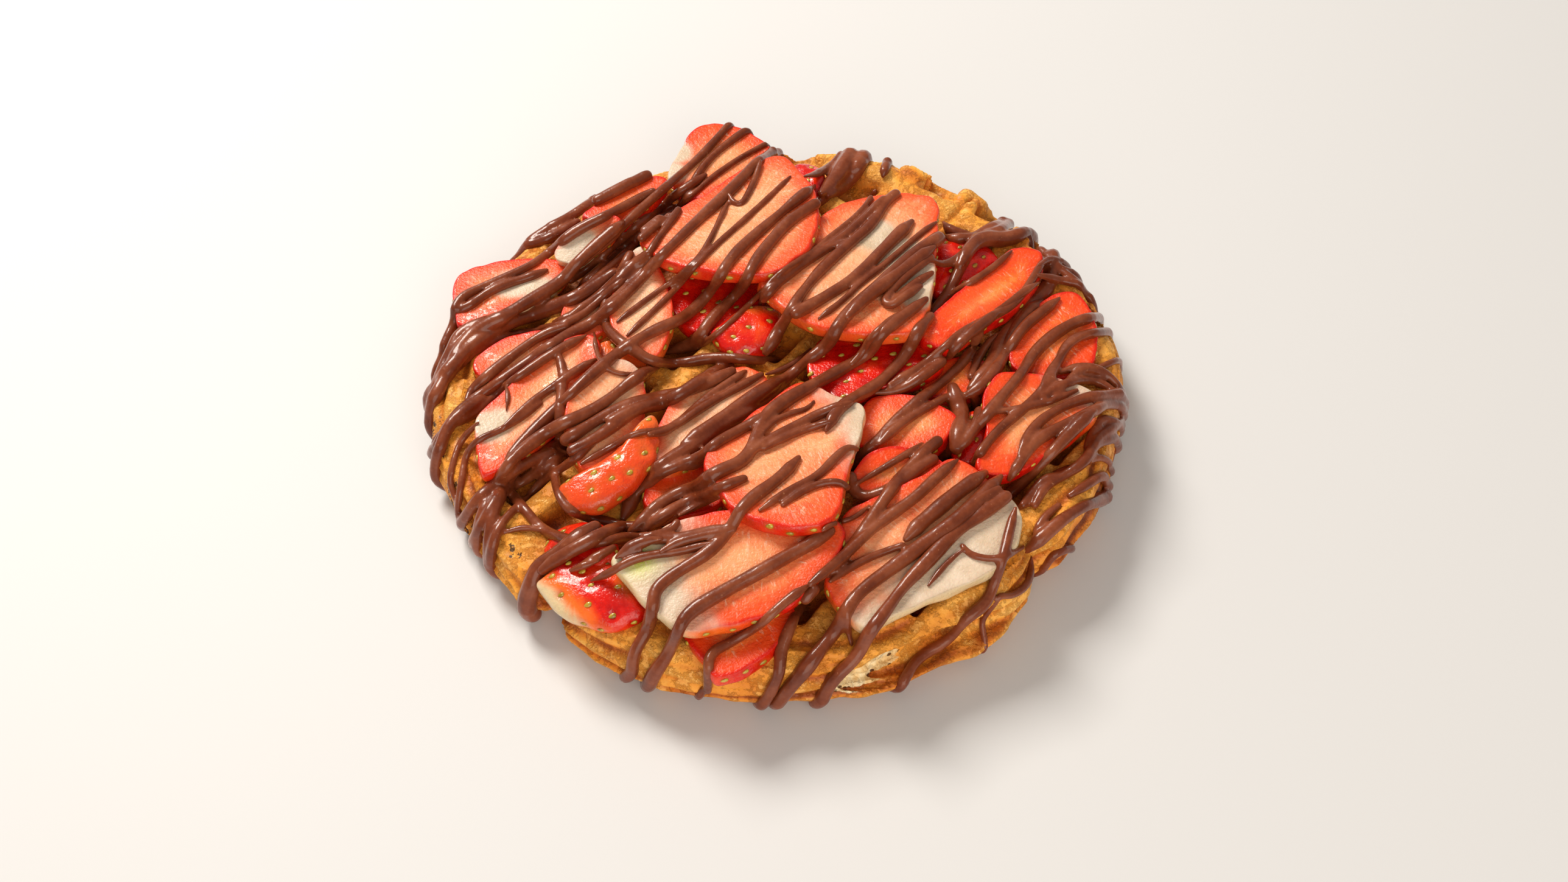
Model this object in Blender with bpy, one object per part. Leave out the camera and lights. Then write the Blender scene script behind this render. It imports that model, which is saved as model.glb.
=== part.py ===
"""Belgian waffle topped with strawberry slices and chocolate drizzle.

Units are metres and +Z is up. The waffle's flat underside lies on z = 0 about the origin.
"""
import math

import bmesh
import bpy
from mathutils import Matrix, Vector
from mathutils.bvhtree import BVHTree

for thing in list(bpy.data.objects):
    bpy.data.objects.remove(thing, do_unlink=True)

MM = 0.001

# The waffle: a round one from a four-quarter iron, puffed up towards +X
RADIUS = 92.5 * MM
THICKNESS = 20 * MM
GRID_TURN = math.radians(50)
PITCH = 20 * MM
POCKET_TOP = 14 * MM
POCKET_FLOOR = 10 * MM
POCKET_DEPTH = 6.5 * MM
RIM = 6.5 * MM
RIM_SEGMENTS = 60
NOTCHES = (math.radians(-128.7), math.radians(-40.2))
# Where the side stands out or draws in: middle and spread in degrees, swell in millimetres
SWELLS = ((178, 22, 3.5), (8, 24, 4), (-102, 24, 3), (-62, 10, -1), (50, 20, 1.5), (117, 16, -1.5))
CRUMB_SPAN = (math.radians(-80), math.radians(-49))

# The toppings: slice thickness, how far a slice gives way to what it lies on, the clearance kept
# between solids, how often a slice's rest is worked out anew, and how a strand is lofted
FLAT_THICK = 4.6 * MM
ROUND_THICK = 5.6 * MM
SINK = 1.8 * MM
CLEAR = 0.35 * MM
TILT_PASSES = 6
HEIGHT_PASSES = 4
OUTLINE_POINTS = 14
SPREAD = 1.0
STRAND_SIDES = 5
STRAND_STEP = 2 * MM
STRAND_SLACK = 0.7 * MM
THINNEST_STRAND = 2.5

# Finishes: colour and roughness
CRUST = ((0.67, 0.37, 0.12), 0.6)
STRAWBERRY = ((0.79, 0.22, 0.10), 0.3)

# Where the stations of slices and strands were sighted from, and the level they were read on
EYE = Vector((2, -321, 401)) * MM
SIGHT_LEVEL = 26 * MM

# Slices from the bottom of the pile up: name, heading of the tip in degrees, whether it is a
# rounded end cut instead of a flat slice, then its outline in millimetres
SLICES = (
    ("slice_right_under", 50, True, (42, 36), (42, 26), (46, 23), (54, 29), (61, 35), (61, 40),
     (55, 45), (49, 45), (44, 44)),
    ("slice_back_scrap", 120, True, (3, 66), (7, 61), (12, 61), (13, 67), (12, 72), (7, 74),
     (4, 74)),
    ("slice_back_left_scrap", 45, True, (-46, 48), (-42, 46), (-37, 51), (-39, 57), (-43, 59),
     (-48, 55)),
    ("slice_right_scrap", 250, True, (47, -25), (46, -32), (48, -36), (52, -35), (56, -27),
     (58, -21), (55, -17), (50, -19)),
    ("slice_front_left_under", 190, True, (-51, -68), (-45, -69), (-40, -66), (-40, -60),
     (-44, -56), (-50, -57), (-55, -60), (-57, -65)),
    ("slice_right_inner", 230, False, (40, -12), (46, -13), (54, -10), (58, -5), (57, -1), (50, 1),
     (42, -2), (39, -6)),
    ("slice_left_scrap", 300, False, (-49, 1), (-47, -5), (-43, -8), (-36, -7), (-36, -1),
     (-40, 4), (-47, 5)),
    ("slice_centre_round", 190, False, (9, -5), (10, -8), (14, -11), (17, -14), (28, -9), (35, -8),
     (42, -4), (45, 0), (41, 6), (29, 10), (19, 10), (12, 7), (9, 0)),
    ("slice_centre_right", 200, False, (27, -32), (33, -32), (41, -30), (46, -24), (47, -19),
     (42, -16), (36, -13), (28, -13), (23, -17), (21, -23), (21, -29)),
    ("slice_front_inner", 190, False, (-28, -53), (-21, -52), (-14, -49), (-13, -43), (-15, -39),
     (-21, -38), (-27, -40), (-32, -43), (-33, -49)),
    ("slice_left_inner", 235, False, (-56, 8), (-50, 7), (-45, 12), (-42, 20), (-39, 30),
     (-41, 38), (-45, 37), (-50, 32), (-55, 24), (-59, 17), (-59, 11)),
    ("slice_back_left_rim", 205, False, (-50, 50), (-43, 51), (-40, 56), (-36, 61), (-33, 67),
     (-37, 69), (-44, 66), (-50, 61), (-54, 56), (-57, 53)),
    ("slice_back_left", 50, False, (-46, 50), (-47, 52), (-50, 53), (-56, 50), (-59, 45),
     (-63, 39), (-62, 35), (-57, 33), (-53, 38), (-49, 43)),
    ("slice_left_mid", 200, False, (-78, -9), (-71, -10), (-64, -8), (-58, -2), (-58, 5), (-61, 8),
     (-67, 7), (-72, 6), (-76, 3), (-82, -3)),
    ("slice_back", 20, False, (-30, 63), (-19, 60), (-7, 66), (-2, 75), (-4, 82), (-8, 87),
     (-15, 91), (-21, 92), (-27, 88), (-29, 80), (-33, 70)),
    ("slice_centre_back", 200, False, (-29, 17), (-25, 11), (-20, 9), (-11, 12), (-6, 18),
     (-4, 24), (-6, 31), (-15, 34), (-25, 33), (-29, 29), (-31, 25)),
    ("slice_front_rim", 215, False, (-21, -87), (-19, -90), (-16, -93), (-14, -98), (-12, -99),
     (-7, -97), (-1, -92), (4, -86), (5, -80), (0, -78), (-9, -79), (-16, -82)),
    ("slice_centre_front", 195, False, (21, -44), (26, -46), (36, -45), (43, -42), (44, -36),
     (41, -33), (36, -31), (30, -30), (24, -33), (20, -39)),
    ("slice_left_back", 190, False, (-88, 15), (-87, 10), (-81, 12), (-74, 15), (-69, 20),
     (-63, 25), (-59, 31), (-60, 34), (-67, 36), (-74, 35), (-84, 32), (-89, 29), (-90, 24)),
    ("slice_left_long", 262, False, (-41, 40), (-43, 33), (-45, 24), (-46, 13), (-43, 6), (-38, 2),
     (-33, 0), (-31, 4), (-29, 13), (-30, 20), (-32, 27), (-35, 35), (-38, 41)),
    ("slice_middle_round", 170, True, (-18, 9), (-16, 5), (-11, 1), (-4, 2), (0, 6), (1, 13),
     (0, 17), (-5, 18), (-10, 17), (-14, 12)),
    ("slice_right_back", 222, False, (63, 39), (55, 29), (48, 22), (43, 17), (39, 10), (41, 6),
     (48, 4), (57, 14), (62, 17), (68, 23), (73, 30), (75, 41), (70, 42), (66, 42)),
    ("slice_right_rim", 215, False, (72, 21), (68, 13), (63, 4), (64, -2), (71, -5), (81, -4),
     (85, 0), (87, 10), (86, 19), (83, 25), (79, 25)),
    ("slice_right_front", 222, False, (57, -8), (55, -17), (56, -25), (53, -31), (52, -37),
     (58, -39), (64, -36), (70, -31), (77, -25), (84, -19), (86, -12), (80, -8), (71, -5),
     (61, -4)),
    ("slice_left_large", 240, False, (-77, -33), (-75, -40), (-73, -40), (-68, -37), (-62, -30),
     (-58, -24), (-53, -15), (-50, -6), (-48, 3), (-50, 7), (-55, 7), (-60, 4), (-65, -2),
     (-70, -10), (-74, -16), (-78, -21), (-78, -27)),
    ("slice_left_pale", 230, False, (-53, -31), (-50, -38), (-46, -38), (-41, -33), (-36, -24),
     (-35, -16), (-36, -7), (-40, -2), (-45, -1), (-50, -7), (-55, -14), (-55, -21)),
    ("slice_middle_long", 45, False, (-18, -8), (-26, -13), (-29, -20), (-31, -28), (-31, -38),
     (-28, -38), (-22, -36), (-18, -33), (-14, -26), (-10, -21), (-6, -15), (-2, -8), (-6, -5),
     (-10, -3)),
    ("slice_left_round", 215, True, (-41, -34), (-46, -38), (-51, -41), (-55, -44), (-53, -49),
     (-51, -51), (-46, -52), (-42, -50), (-37, -45), (-34, -40), (-31, -35), (-31, -28),
     (-32, -21), (-35, -22)),
    ("slice_front_left_round", 200, True, (-55, -78), (-50, -83), (-43, -86), (-38, -86),
     (-32, -83), (-31, -79), (-36, -72), (-41, -67), (-47, -64), (-51, -66), (-56, -72),
     (-58, -74)),
    ("slice_front_right_large", 232, False, (14, -75), (16, -79), (19, -82), (24, -86), (28, -82),
     (34, -78), (40, -75), (46, -72), (52, -69), (56, -66), (61, -58), (62, -51), (61, -48),
     (57, -44), (52, -37), (45, -33), (41, -37), (33, -43), (25, -47), (18, -51), (16, -60),
     (14, -68), (13, -72)),
    ("slice_back_right_large", 200, False, (-1, 22), (8, 13), (20, 10), (30, 9), (38, 11),
     (41, 20), (43, 32), (45, 51), (46, 62), (37, 64), (26, 62), (16, 58), (11, 52), (9, 46),
     (5, 36), (-3, 31), (-6, 27)),
    ("slice_back_large", 60, False, (-6, 77), (-13, 71), (-19, 64), (-28, 56), (-36, 51),
     (-40, 45), (-37, 40), (-31, 35), (-20, 32), (-9, 31), (0, 32), (4, 37), (8, 42), (10, 48),
     (11, 57), (8, 68), (4, 74), (1, 79)),
    ("slice_front_large", 5, False, (-36, -72), (-31, -78), (-28, -81), (-24, -85), (-20, -87),
     (-12, -85), (-3, -82), (5, -78), (9, -72), (13, -68), (17, -61), (17, -55), (13, -52),
     (2, -53), (-11, -51), (-25, -55), (-29, -58), (-37, -63), (-40, -66)),
    ("slice_middle_large", 200, False, (0, -14), (-6, -20), (-12, -26), (-17, -31), (-18, -37),
     (-16, -40), (-13, -45), (-10, -50), (-7, -52), (-1, -54), (5, -55), (12, -54), (16, -50),
     (17, -42), (18, -38), (20, -30), (22, -24), (23, -17), (19, -15), (15, -13), (10, -10),
     (6, -8)),
)

# Chocolate strands: width, then the stations they run through, in millimetres
STRANDS = (
    (3.2, (-40, 50), (-41, 40), (-45, 28), (-48, 18), (-47, 11), (-44, 6), (-39, 2), (-34, -2),
     (-27, -3), (-16, 0), (-7, -1), (0, -1)),
    (2.8, (-15, 93), (-24, 77), (-37, 60), (-44, 50), (-48, 43), (-54, 36), (-58, 31)),
    (2.4, (-10, 90), (-20, 79), (-25, 69), (-29, 55), (-35, 43), (-38, 34), (-42, 25), (-50, 15)),
    (3.4, (1, 83), (-7, 76), (-14, 64), (-23, 52), (-34, 36), (-40, 25), (-50, 12), (-57, 7),
     (-67, -3), (-79, -15), (-85, -23), (-88, -33)),
    (1.9, (-4, 84), (-15, 75), (-27, 60), (-38, 45)),
    (3.4, (10, 66), (3, 58), (-6, 47), (-14, 36), (-18, 25), (-25, 14), (-34, 9), (-43, 1),
     (-52, -10), (-61, -23), (-67, -32), (-70, -38)),
    (3.6, (14, 62), (3, 52), (-2, 44), (-7, 35), (-10, 25), (-18, 14), (-22, 5), (-30, 1)),
    (1.9, (4, 35), (-3, 26), (-11, 15), (-20, 4), (-25, 1)),
    (1.9, (-15, 59), (-21, 39), (-27, 30), (-34, 23), (-44, 12)),
    (1.9, (3, 70), (-6, 57), (-17, 43), (-23, 34), (-30, 22), (-41, 7)),
    (4.2, (-35, 75), (-42, 71), (-53, 63), (-62, 55), (-67, 48), (-76, 43)),
    (3.0, (-37, 63), (-48, 54), (-59, 46), (-66, 36), (-73, 30), (-83, 24), (-88, 20), (-89, 15)),
    (4.0, (-45, 50), (-57, 34), (-60, 27), (-69, 19), (-77, 12), (-86, 8), (-88, 0), (-90, -9),
     (-91, -20)),
    (3.0, (-65, 31), (-70, 28), (-79, 24), (-86, 16)),
    (4.0, (-72, 15), (-80, 10), (-85, 4), (-88, -7), (-91, -18)),
    (2.0, (-64, 9), (-73, 7), (-80, 2), (-86, -6)),
    (1.8, (-50, 8), (-49, 1), (-46, -5), (-41, -7), (-37, -6)),
    (3.0, (-59, 0), (-57, -7), (-57, -15), (-57, -21), (-56, -26), (-57, -35), (-56, -44),
     (-53, -51), (-47, -54), (-42, -55), (-37, -57), (-29, -55), (-24, -52)),
    (3.4, (-32, -4), (-37, -7), (-44, -15), (-49, -20), (-58, -25), (-64, -31), (-68, -36),
     (-71, -43), (-73, -50), (-74, -59), (-74, -67)),
    (4.0, (46, 46), (37, 38), (29, 28), (22, 20), (17, 13), (14, 5), (9, 0), (2, -8), (-4, -15),
     (-7, -19), (-15, -24), (-18, -28), (-23, -32), (-28, -36), (-33, -41), (-36, -47), (-38, -54)),
    (3.6, (41, 22), (34, 15), (28, 9), (25, 2), (16, -5), (9, -10), (1, -16), (-4, -22), (-7, -35),
     (-15, -39), (-19, -43), (-25, -46), (-30, -50), (-33, -55), (-36, -58)),
    (3.5, (6, -34), (1, -41), (-8, -49), (-11, -57), (-16, -64), (-24, -70), (-29, -75),
     (-29, -80), (-30, -87), (-33, -93), (-33, -99)),
    (3.6, (14, -57), (9, -61), (3, -65), (-4, -70), (-13, -76), (-21, -82), (-23, -88), (-25, -94),
     (-28, -99), (-29, -103)),
    (2.6, (9, -73), (3, -78), (-3, -85), (-10, -90), (-15, -93), (-15, -99), (-15, -104)),
    (3.4, (42, -28), (38, -32), (33, -39), (27, -48), (23, -56), (17, -65), (12, -72), (7, -78),
     (4, -86), (2, -92), (2, -98), (0, -103)),
    (3.0, (-70, -43), (-66, -48), (-62, -53), (-58, -58), (-51, -61), (-44, -62), (-39, -60),
     (-32, -60), (-24, -60), (-17, -58), (-11, -56)),
    (2.0, (-68, -59), (-63, -57), (-58, -58)),
    (5.0, (-45, -57), (-49, -61), (-54, -66), (-58, -69), (-59, -74), (-60, -79), (-59, -85)),
    (3.0, (-40, -63), (-44, -66), (-48, -69)),
    (2.4, (-15, -61), (-24, -64), (-31, -65), (-36, -67), (-41, -71), (-45, -73)),
    (3.6, (-78, -16), (-83, -21), (-86, -26), (-87, -34)),
    (1.9, (-78, -24), (-82, -30), (-83, -38), (-83, -44), (-80, -50)),
    (2.0, (-62, -17), (-71, -26), (-77, -29), (-80, -34), (-80, -43), (-80, -50)),
    (3.6, (-12, -5), (-22, -12), (-36, -16), (-44, -20), (-52, -27), (-61, -35), (-67, -39),
     (-70, -47), (-71, -54), (-71, -62), (-70, -68)),
    (2.6, (-42, -22), (-48, -30), (-52, -36), (-58, -41), (-63, -48)),
    (2.0, (-26, -22), (-29, -26), (-36, -26), (-42, -31), (-50, -37)),
    (5.0, (26, 82), (20, 68), (14, 62)),
    (3.4, (36, 65), (31, 61), (27, 51), (21, 44), (12, 33), (6, 23), (3, 16), (0, 9), (-3, 2)),
    (2.0, (28, 65), (24, 56), (17, 48), (8, 38), (1, 32), (-4, 25), (-5, 19)),
    (3.6, (38, 52), (29, 40), (22, 30), (14, 23), (5, 16)),
    (2.0, (45, 52), (40, 47), (30, 35), (23, 28), (18, 21), (11, 14)),
    (2.8, (43, 32), (36, 26), (31, 19)),
    (3.6, (54, 41), (51, 34), (48, 26), (43, 17), (38, 10), (35, 2), (31, -4), (26, -10),
     (20, -14), (16, -18), (13, -25)),
    (4.2, (68, 54), (60, 49), (55, 45), (47, 46)),
    (2.6, (75, 38), (70, 28), (65, 20), (59, 16), (50, 10), (44, 3), (37, -4), (30, -9)),
    (4.4, (77, 36), (76, 28), (68, 18), (61, 8), (58, -2), (52, -10)),
    (3.2, (78, 23), (73, 18), (67, 12), (61, 1), (56, -7)),
    (3.4, (55, 11), (51, 0), (45, -7), (38, -14), (30, -23), (25, -30), (20, -36), (19, -41),
     (21, -46), (25, -46), (32, -42), (38, -36), (46, -30), (52, -24), (61, -11), (66, -4),
     (70, 4), (78, 12), (85, 16), (92, 16)),
    (3.0, (93, 11), (84, 10), (79, 7), (75, -2), (72, -9), (66, -16), (57, -25), (51, -35)),
    (5.0, (47, -10), (48, -16), (49, -19), (47, -30)),
    (2.0, (94, 2), (85, -3), (79, -7), (74, -9), (74, -3), (78, 5)),
    (2.0, (80, -10), (73, -14), (70, -15), (58, -18)),
    (3.4, (88, -14), (84, -17), (79, -20), (69, -26), (65, -31), (60, -40)),
    (3.6, (84, -17), (79, -22), (71, -32), (61, -44), (51, -52), (45, -57), (37, -67), (32, -73),
     (27, -81), (23, -87), (20, -94), (14, -100), (12, -105)),
    (3.0, (47, -34), (41, -40), (36, -46), (29, -52), (23, -58), (16, -66), (9, -73)),
    (4.4, (54, -38), (48, -43), (42, -49), (36, -55), (33, -59)),
    (4.0, (58, -39), (51, -48), (46, -53), (38, -60), (29, -68), (21, -75), (18, -80), (16, -85),
     (10, -94), (5, -101), (1, -107)),
    (2.0, (38, -29), (33, -33), (21, -42)),
    (2.0, (14, -72), (21, -66), (32, -61)),
    (2.4, (21, -31), (19, -30), (16, -33), (11, -40), (3, -45), (-4, -51)),
    (2.0, (19, -44), (16, -41), (9, -43), (2, -49)),
    (2.6, (62, -49), (65, -47), (69, -40), (77, -36), (84, -32)),
    (2.6, (65, -59), (67, -53), (72, -48)),
    (4.0, (63, -62), (68, -57), (73, -52), (80, -47), (85, -45)),
    (3.0, (61, -49), (59, -56), (57, -64), (55, -70), (52, -78), (47, -82), (42, -89), (35, -93),
     (31, -100)),
    (2.0, (47, -61), (49, -64), (56, -65), (62, -61)),
    (2.0, (64, -64), (63, -72), (58, -76), (55, -75)),
    (3.0, (75, 41), (79, 33), (86, 32), (90, 27)),
)

dish = bpy.data.collections.new("waffle_with_strawberries")
bpy.context.scene.collection.children.link(dish)


def finish(name, colour, roughness):
    """A plain food surface."""
    material = bpy.data.materials.new(name)
    material.use_nodes = True
    shader = material.node_tree.nodes["Principled BSDF"]
    shader.inputs["Base Color"].default_value = (*colour, 1)
    shader.inputs["Roughness"].default_value = roughness
    shader.inputs["Metallic"].default_value = 0
    return material


def loft(name, rings):
    """A closed solid through rings of points, capped at both ends."""
    mesh = bpy.data.meshes.new(name)
    shape = bmesh.new()
    rows = [[shape.verts.new(point) for point in ring] for ring in rings]
    for low, high in zip(rows, rows[1:]):
        for k in range(len(low)):
            n = (k + 1) % len(low)
            shape.faces.new((low[k], low[n], high[n], high[k]))
    shape.faces.new(list(reversed(rows[0])))
    shape.faces.new(rows[-1])
    bmesh.ops.recalc_face_normals(shape, faces=shape.faces)
    shape.to_mesh(mesh)
    shape.free()
    solid = bpy.data.objects.new(name, mesh)
    dish.objects.link(solid)
    return solid


def combine(target, operands, operation):
    """Boolean of the target with every operand, applied; the operands are removed."""
    group = bpy.data.collections.new("operands")
    bpy.context.scene.collection.children.link(group)
    for thing in operands:
        dish.objects.unlink(thing)
        group.objects.link(thing)
    cut = target.modifiers.new("combine", "BOOLEAN")
    cut.operand_type = "COLLECTION"
    cut.collection = group
    cut.operation = operation
    cut.solver = "MANIFOLD"
    bpy.context.view_layer.objects.active = target
    bpy.ops.object.modifier_apply(modifier=cut.name)
    for thing in operands:
        bpy.data.objects.remove(thing, do_unlink=True)
    bpy.data.collections.remove(group)


def keep_largest(solid):
    """Drops loose scraps and sealed hollows, leaving the largest closed shell."""
    shape = bmesh.new()
    shape.from_mesh(solid.data)
    left, shells = set(shape.faces), []
    while left:
        reached, edge = set(), [left.pop()]
        while edge:
            face = edge.pop()
            reached.add(face)
            for side in face.edges:
                for other in side.link_faces:
                    if other in left:
                        left.discard(other)
                        edge.append(other)
        shells.append(reached)
    largest = max(shells, key=lambda shell: sum(face.calc_area() for face in shell))
    spare = [face for shell in shells if shell is not largest for face in shell]
    bmesh.ops.delete(shape, geom=spare, context="FACES")
    loose = [vert for vert in shape.verts if not vert.link_faces]
    bmesh.ops.delete(shape, geom=loose, context="VERTS")
    shape.to_mesh(solid.data)
    shape.free()


def puff(x):
    """How high the waffle has risen at x, as a share of its nominal thickness."""
    return 0.92 + 0.17 * x / RADIUS


def side_radius(angle, level, grow):
    """Radius of the waffle's side: uneven, notched at the dividers, open at the crumb band."""
    reach = RADIUS + 0.6 * MM * math.sin(13 * angle + 1.1)
    for middle, span, swell in SWELLS:
        away = math.remainder(angle - math.radians(middle), 2 * math.pi) / math.radians(span)
        reach += swell * MM * math.exp(-away * away)
    for notch in NOTCHES:
        away = abs(math.remainder(angle - notch, 2 * math.pi))
        reach -= 5.5 * MM * max(0.0, 1 - away / math.radians(4.5))
    inside = min(angle - CRUMB_SPAN[0], CRUMB_SPAN[1] - angle) / math.radians(8)
    if inside > 0:
        gape = min(1.0, inside) * MM
        reach += {1: 2.5, 2: 3.0, 3: -3.5, 4: -3.5, 5: 1.0}.get(level, 0.0) * gape
    return reach + grow


# Levels of the side from the foot up: inset from the full radius and height
SIDE = ((8, 0), (3, 3.5), (0, 7.2), (0.7, 8.6), (1.6, 13.0), (2.8, 17.2), (6, 20))


def waffle_disc(name, grow=0.0):
    """The waffle before its pockets are pressed in."""
    rings = []
    for level, (inset, height) in enumerate(SIDE):
        ring = []
        for k in range(RIM_SEGMENTS):
            angle = -math.pi + 2 * math.pi * k / RIM_SEGMENTS
            reach = side_radius(angle, level, grow) - inset * MM
            x, y = reach * math.cos(angle), reach * math.sin(angle)
            lift = grow if level == len(SIDE) - 1 else 0.0
            ring.append((x, y, height * MM * puff(x) + lift))
        rings.append(ring)
    return loft(name, rings)


def square(centre, half, z, limit):
    """Corners of a square of the pocket grid at height z, drawn in to the limit radius."""
    ring = []
    for u, v in ((-half, -half), (half, -half), (half, half), (-half, half)):
        spot = Matrix.Rotation(GRID_TURN, 3, "Z") @ Vector((centre[0] + u, centre[1] + v, 0))
        spot *= min(1.0, limit / max(spot.length, MM))
        ring.append((spot.x, spot.y, z * puff(spot.x)))
    return ring


def pocket_cutters():
    """Tapered pockets of both faces; those at the upper right run out through the rim."""
    pockets = []
    count = int(RADIUS / PITCH) + 1
    steps = [(k + 0.5) * PITCH for k in range(-count, count)]
    inner, outer, everywhere = 81 * MM, 96 * MM, 200 * MM
    for u in steps:
        for v in steps:
            reach = math.hypot(u, v)
            angle = math.remainder(math.atan2(v, u) + GRID_TURN, 2 * math.pi)
            at_rim = 12 < math.degrees(angle) < 88 and reach > 66 * MM
            for face in (1, -1):
                open_side = at_rim and face > 0
                if reach > (outer if open_side else inner):
                    continue
                mouth = THICKNESS + 1 * MM if face > 0 else -1 * MM
                floor = THICKNESS - POCKET_DEPTH if face > 0 else POCKET_DEPTH
                edge = everywhere if open_side else RADIUS - RIM
                rings = [square((u, v), POCKET_FLOOR / 2, floor, edge - 1.2 * MM),
                         square((u, v), POCKET_TOP / 2 + 0.3 * MM, mouth, edge)]
                pockets.append(loft("pocket", rings))
    return pockets


def groove_cutters():
    """Shallow V grooves that divide the waffle's face into four quarters."""
    grooves = []
    for turn in (GRID_TURN, GRID_TURN + math.pi / 2):
        spin = Matrix.Rotation(turn, 3, "Z")
        rings = []
        for along in (-99 * MM, 99 * MM):
            ring = []
            for across, z in ((-1.9, 21.2), (0, 18.2), (1.9, 21.2)):
                spot = spin @ Vector((along, across * MM, 0))
                ring.append((spot.x, spot.y, z * MM * puff(spot.x)))
            rings.append(ring)
        grooves.append(loft("groove", rings))
    return grooves


def evenly(outline):
    """Points spaced evenly round an outline whose corners have been eased."""
    eased = []
    for before, here, after in zip(outline[-1:] + outline[:-1], outline, outline[1:] + outline[:1]):
        eased += [here.lerp(before, 0.22), here.lerp(after, 0.22)]
    sides = list(zip(eased, eased[1:] + eased[:1]))
    total = sum((b - a).length for a, b in sides)
    points, walked = [], 0.0
    for a, b in sides:
        span = (b - a).length
        while len(points) < OUTLINE_POINTS and len(points) * total / OUTLINE_POINTS <= walked + span:
            points.append(a.lerp(b, (len(points) * total / OUTLINE_POINTS - walked) / span))
        walked += span
    return points


def sighted_on(spot, rest, normal):
    """Where the line of sight through a station of the reading level meets a plane."""
    sight = Vector(spot).to_3d() * MM + Vector((0, 0, SIGHT_LEVEL)) - EYE
    return EYE + sight * ((rest - EYE).dot(normal) / sight.dot(normal))


FLAT_RINGS = ((0.93, 0), (1, 0.5), (0.95, 1))
ROUND_RINGS = ((0.95, 0), (1, 0.3), (0.82, 0.75), (0.42, 1))


def slice_solid(name, is_round, outline, normal, grow=0.0):
    """A slice on the outline of its underside, thickened along the normal of its rest."""
    centre = sum(outline, Vector()) / len(outline)
    thick = ROUND_THICK if is_round else FLAT_THICK
    rings = []
    for share, level in (ROUND_RINGS if is_round else FLAT_RINGS):
        rise = thick * level + (grow if level == 1 else -grow if level == 0 else 0)
        ring = []
        for point in outline:
            arm = point - centre
            ring.append(centre + arm * share + arm.normalized() * grow + normal * rise)
        rings.append(ring)
    return loft(name, rings)


def tree_of(solids):
    """Search tree over several solids, and the solid each of its faces belongs to."""
    corners, faces, owner = [], [], []
    for solid in solids:
        start = len(corners)
        corners += [vert.co.copy() for vert in solid.data.vertices]
        for face in solid.data.polygons:
            faces.append([start + k for k in face.vertices])
            owner.append(solid)
    return BVHTree.FromPolygons(corners, faces), owner


def sighted(tree, x, y):
    """What the line of sight through a station of the reading level meets first."""
    station = Vector((x * MM, y * MM, SIGHT_LEVEL))
    return tree.ray_cast(EYE, (station - EYE).normalized())


def under(edge, tree):
    """Heights of the pile under an outline, as points."""
    centre = sum(edge, Vector()) / len(edge)
    spots = []
    for share in (0.0, 0.25, 0.5, 0.75, 0.9, 1.03):
        for point in edge:
            spot = centre.lerp(point, share)
            hit, _, _, _ = tree.ray_cast(Vector((spot.x, spot.y, 0.2)), Vector((0, 0, -1)))
            if hit is not None:
                spots.append(hit)
    return centre, spots


def settle(spec, tree):
    """Outline of a slice's underside, and the normal of the plane it comes to rest on.

    The tilt is found first, from the hull of what lies below, and then the height at that tilt.
    """
    _, _, is_round, *outline = spec
    outline = evenly([Vector(point) for point in outline])
    middle = sum(outline, Vector((0, 0))) / len(outline)
    outline = [spot + (spot - middle).normalized() * SPREAD for spot in outline]
    rest, normal = Vector((0, 0, SIGHT_LEVEL)), Vector((0, 0, 1))
    top = ROUND_THICK * 0.5 if is_round else FLAT_THICK
    for turn in range(TILT_PASSES + HEIGHT_PASSES):
        edge = [sighted_on(spot, rest + normal * top, normal) - normal * top for spot in outline]
        centre, spots = under(edge, tree)
        if turn >= TILT_PASSES:
            lift = max((spot - centre).dot(normal) for spot in spots)
            rest = centre + normal * (lift + CLEAR - SINK)
            continue
        shape = bmesh.new()
        for spot in spots + [Vector((centre.x, centre.y, -0.2))]:
            shape.verts.new(spot)
        bmesh.ops.convex_hull(shape, input=shape.verts)
        hull = BVHTree.FromBMesh(shape)
        rest, leaning, _, _ = hull.ray_cast(Vector((centre.x, centre.y, 0.2)), Vector((0, 0, -1)))
        shape.free()
        normal = (normal + leaning + Vector((0, 0, 0.9))).normalized()
    return [sighted_on(spot, rest + normal * top, normal) - normal * top for spot in outline], normal


def stations(strand):
    """Evenly spaced points along a strand's stations, with its corners eased."""
    points = [Vector((x, y, 0)) for x, y in strand[1:]]
    eased = [points[0]]
    for before, here, after in zip(points, points[1:], points[2:]):
        eased += [here.lerp(before, 0.25), here.lerp(after, 0.25)]
    eased.append(points[-1])
    run = []
    for a, b in zip(eased, eased[1:]):
        count = max(1, round((b - a).length * MM / STRAND_STEP))
        run += [a.lerp(b, k / count) for k in range(count)]
    return run + [eased[-1]]


def runs_of(strand, tree, owner):
    """Splits a strand where it passes from one solid to another: (solid, points, normals)."""
    runs = []
    for spot in stations(strand):
        hit, normal, face, _ = sighted(tree, spot.x, spot.y)
        if hit is None or hit.z < 1.5 * MM:
            runs.append((None, [], []))
            continue
        solid = owner[face]
        fresh = not runs or runs[-1][0] is not solid
        if fresh or (runs[-1][1] and (hit - runs[-1][1][-1]).length > 12 * MM):
            runs.append((solid, [], []))
        runs[-1][1].append(hit)
        runs[-1][2].append((normal + Vector((0, 0, 0.6))).normalized())
    return [run for run in runs if run[0] is not None and len(run[1]) > 2]


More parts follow.
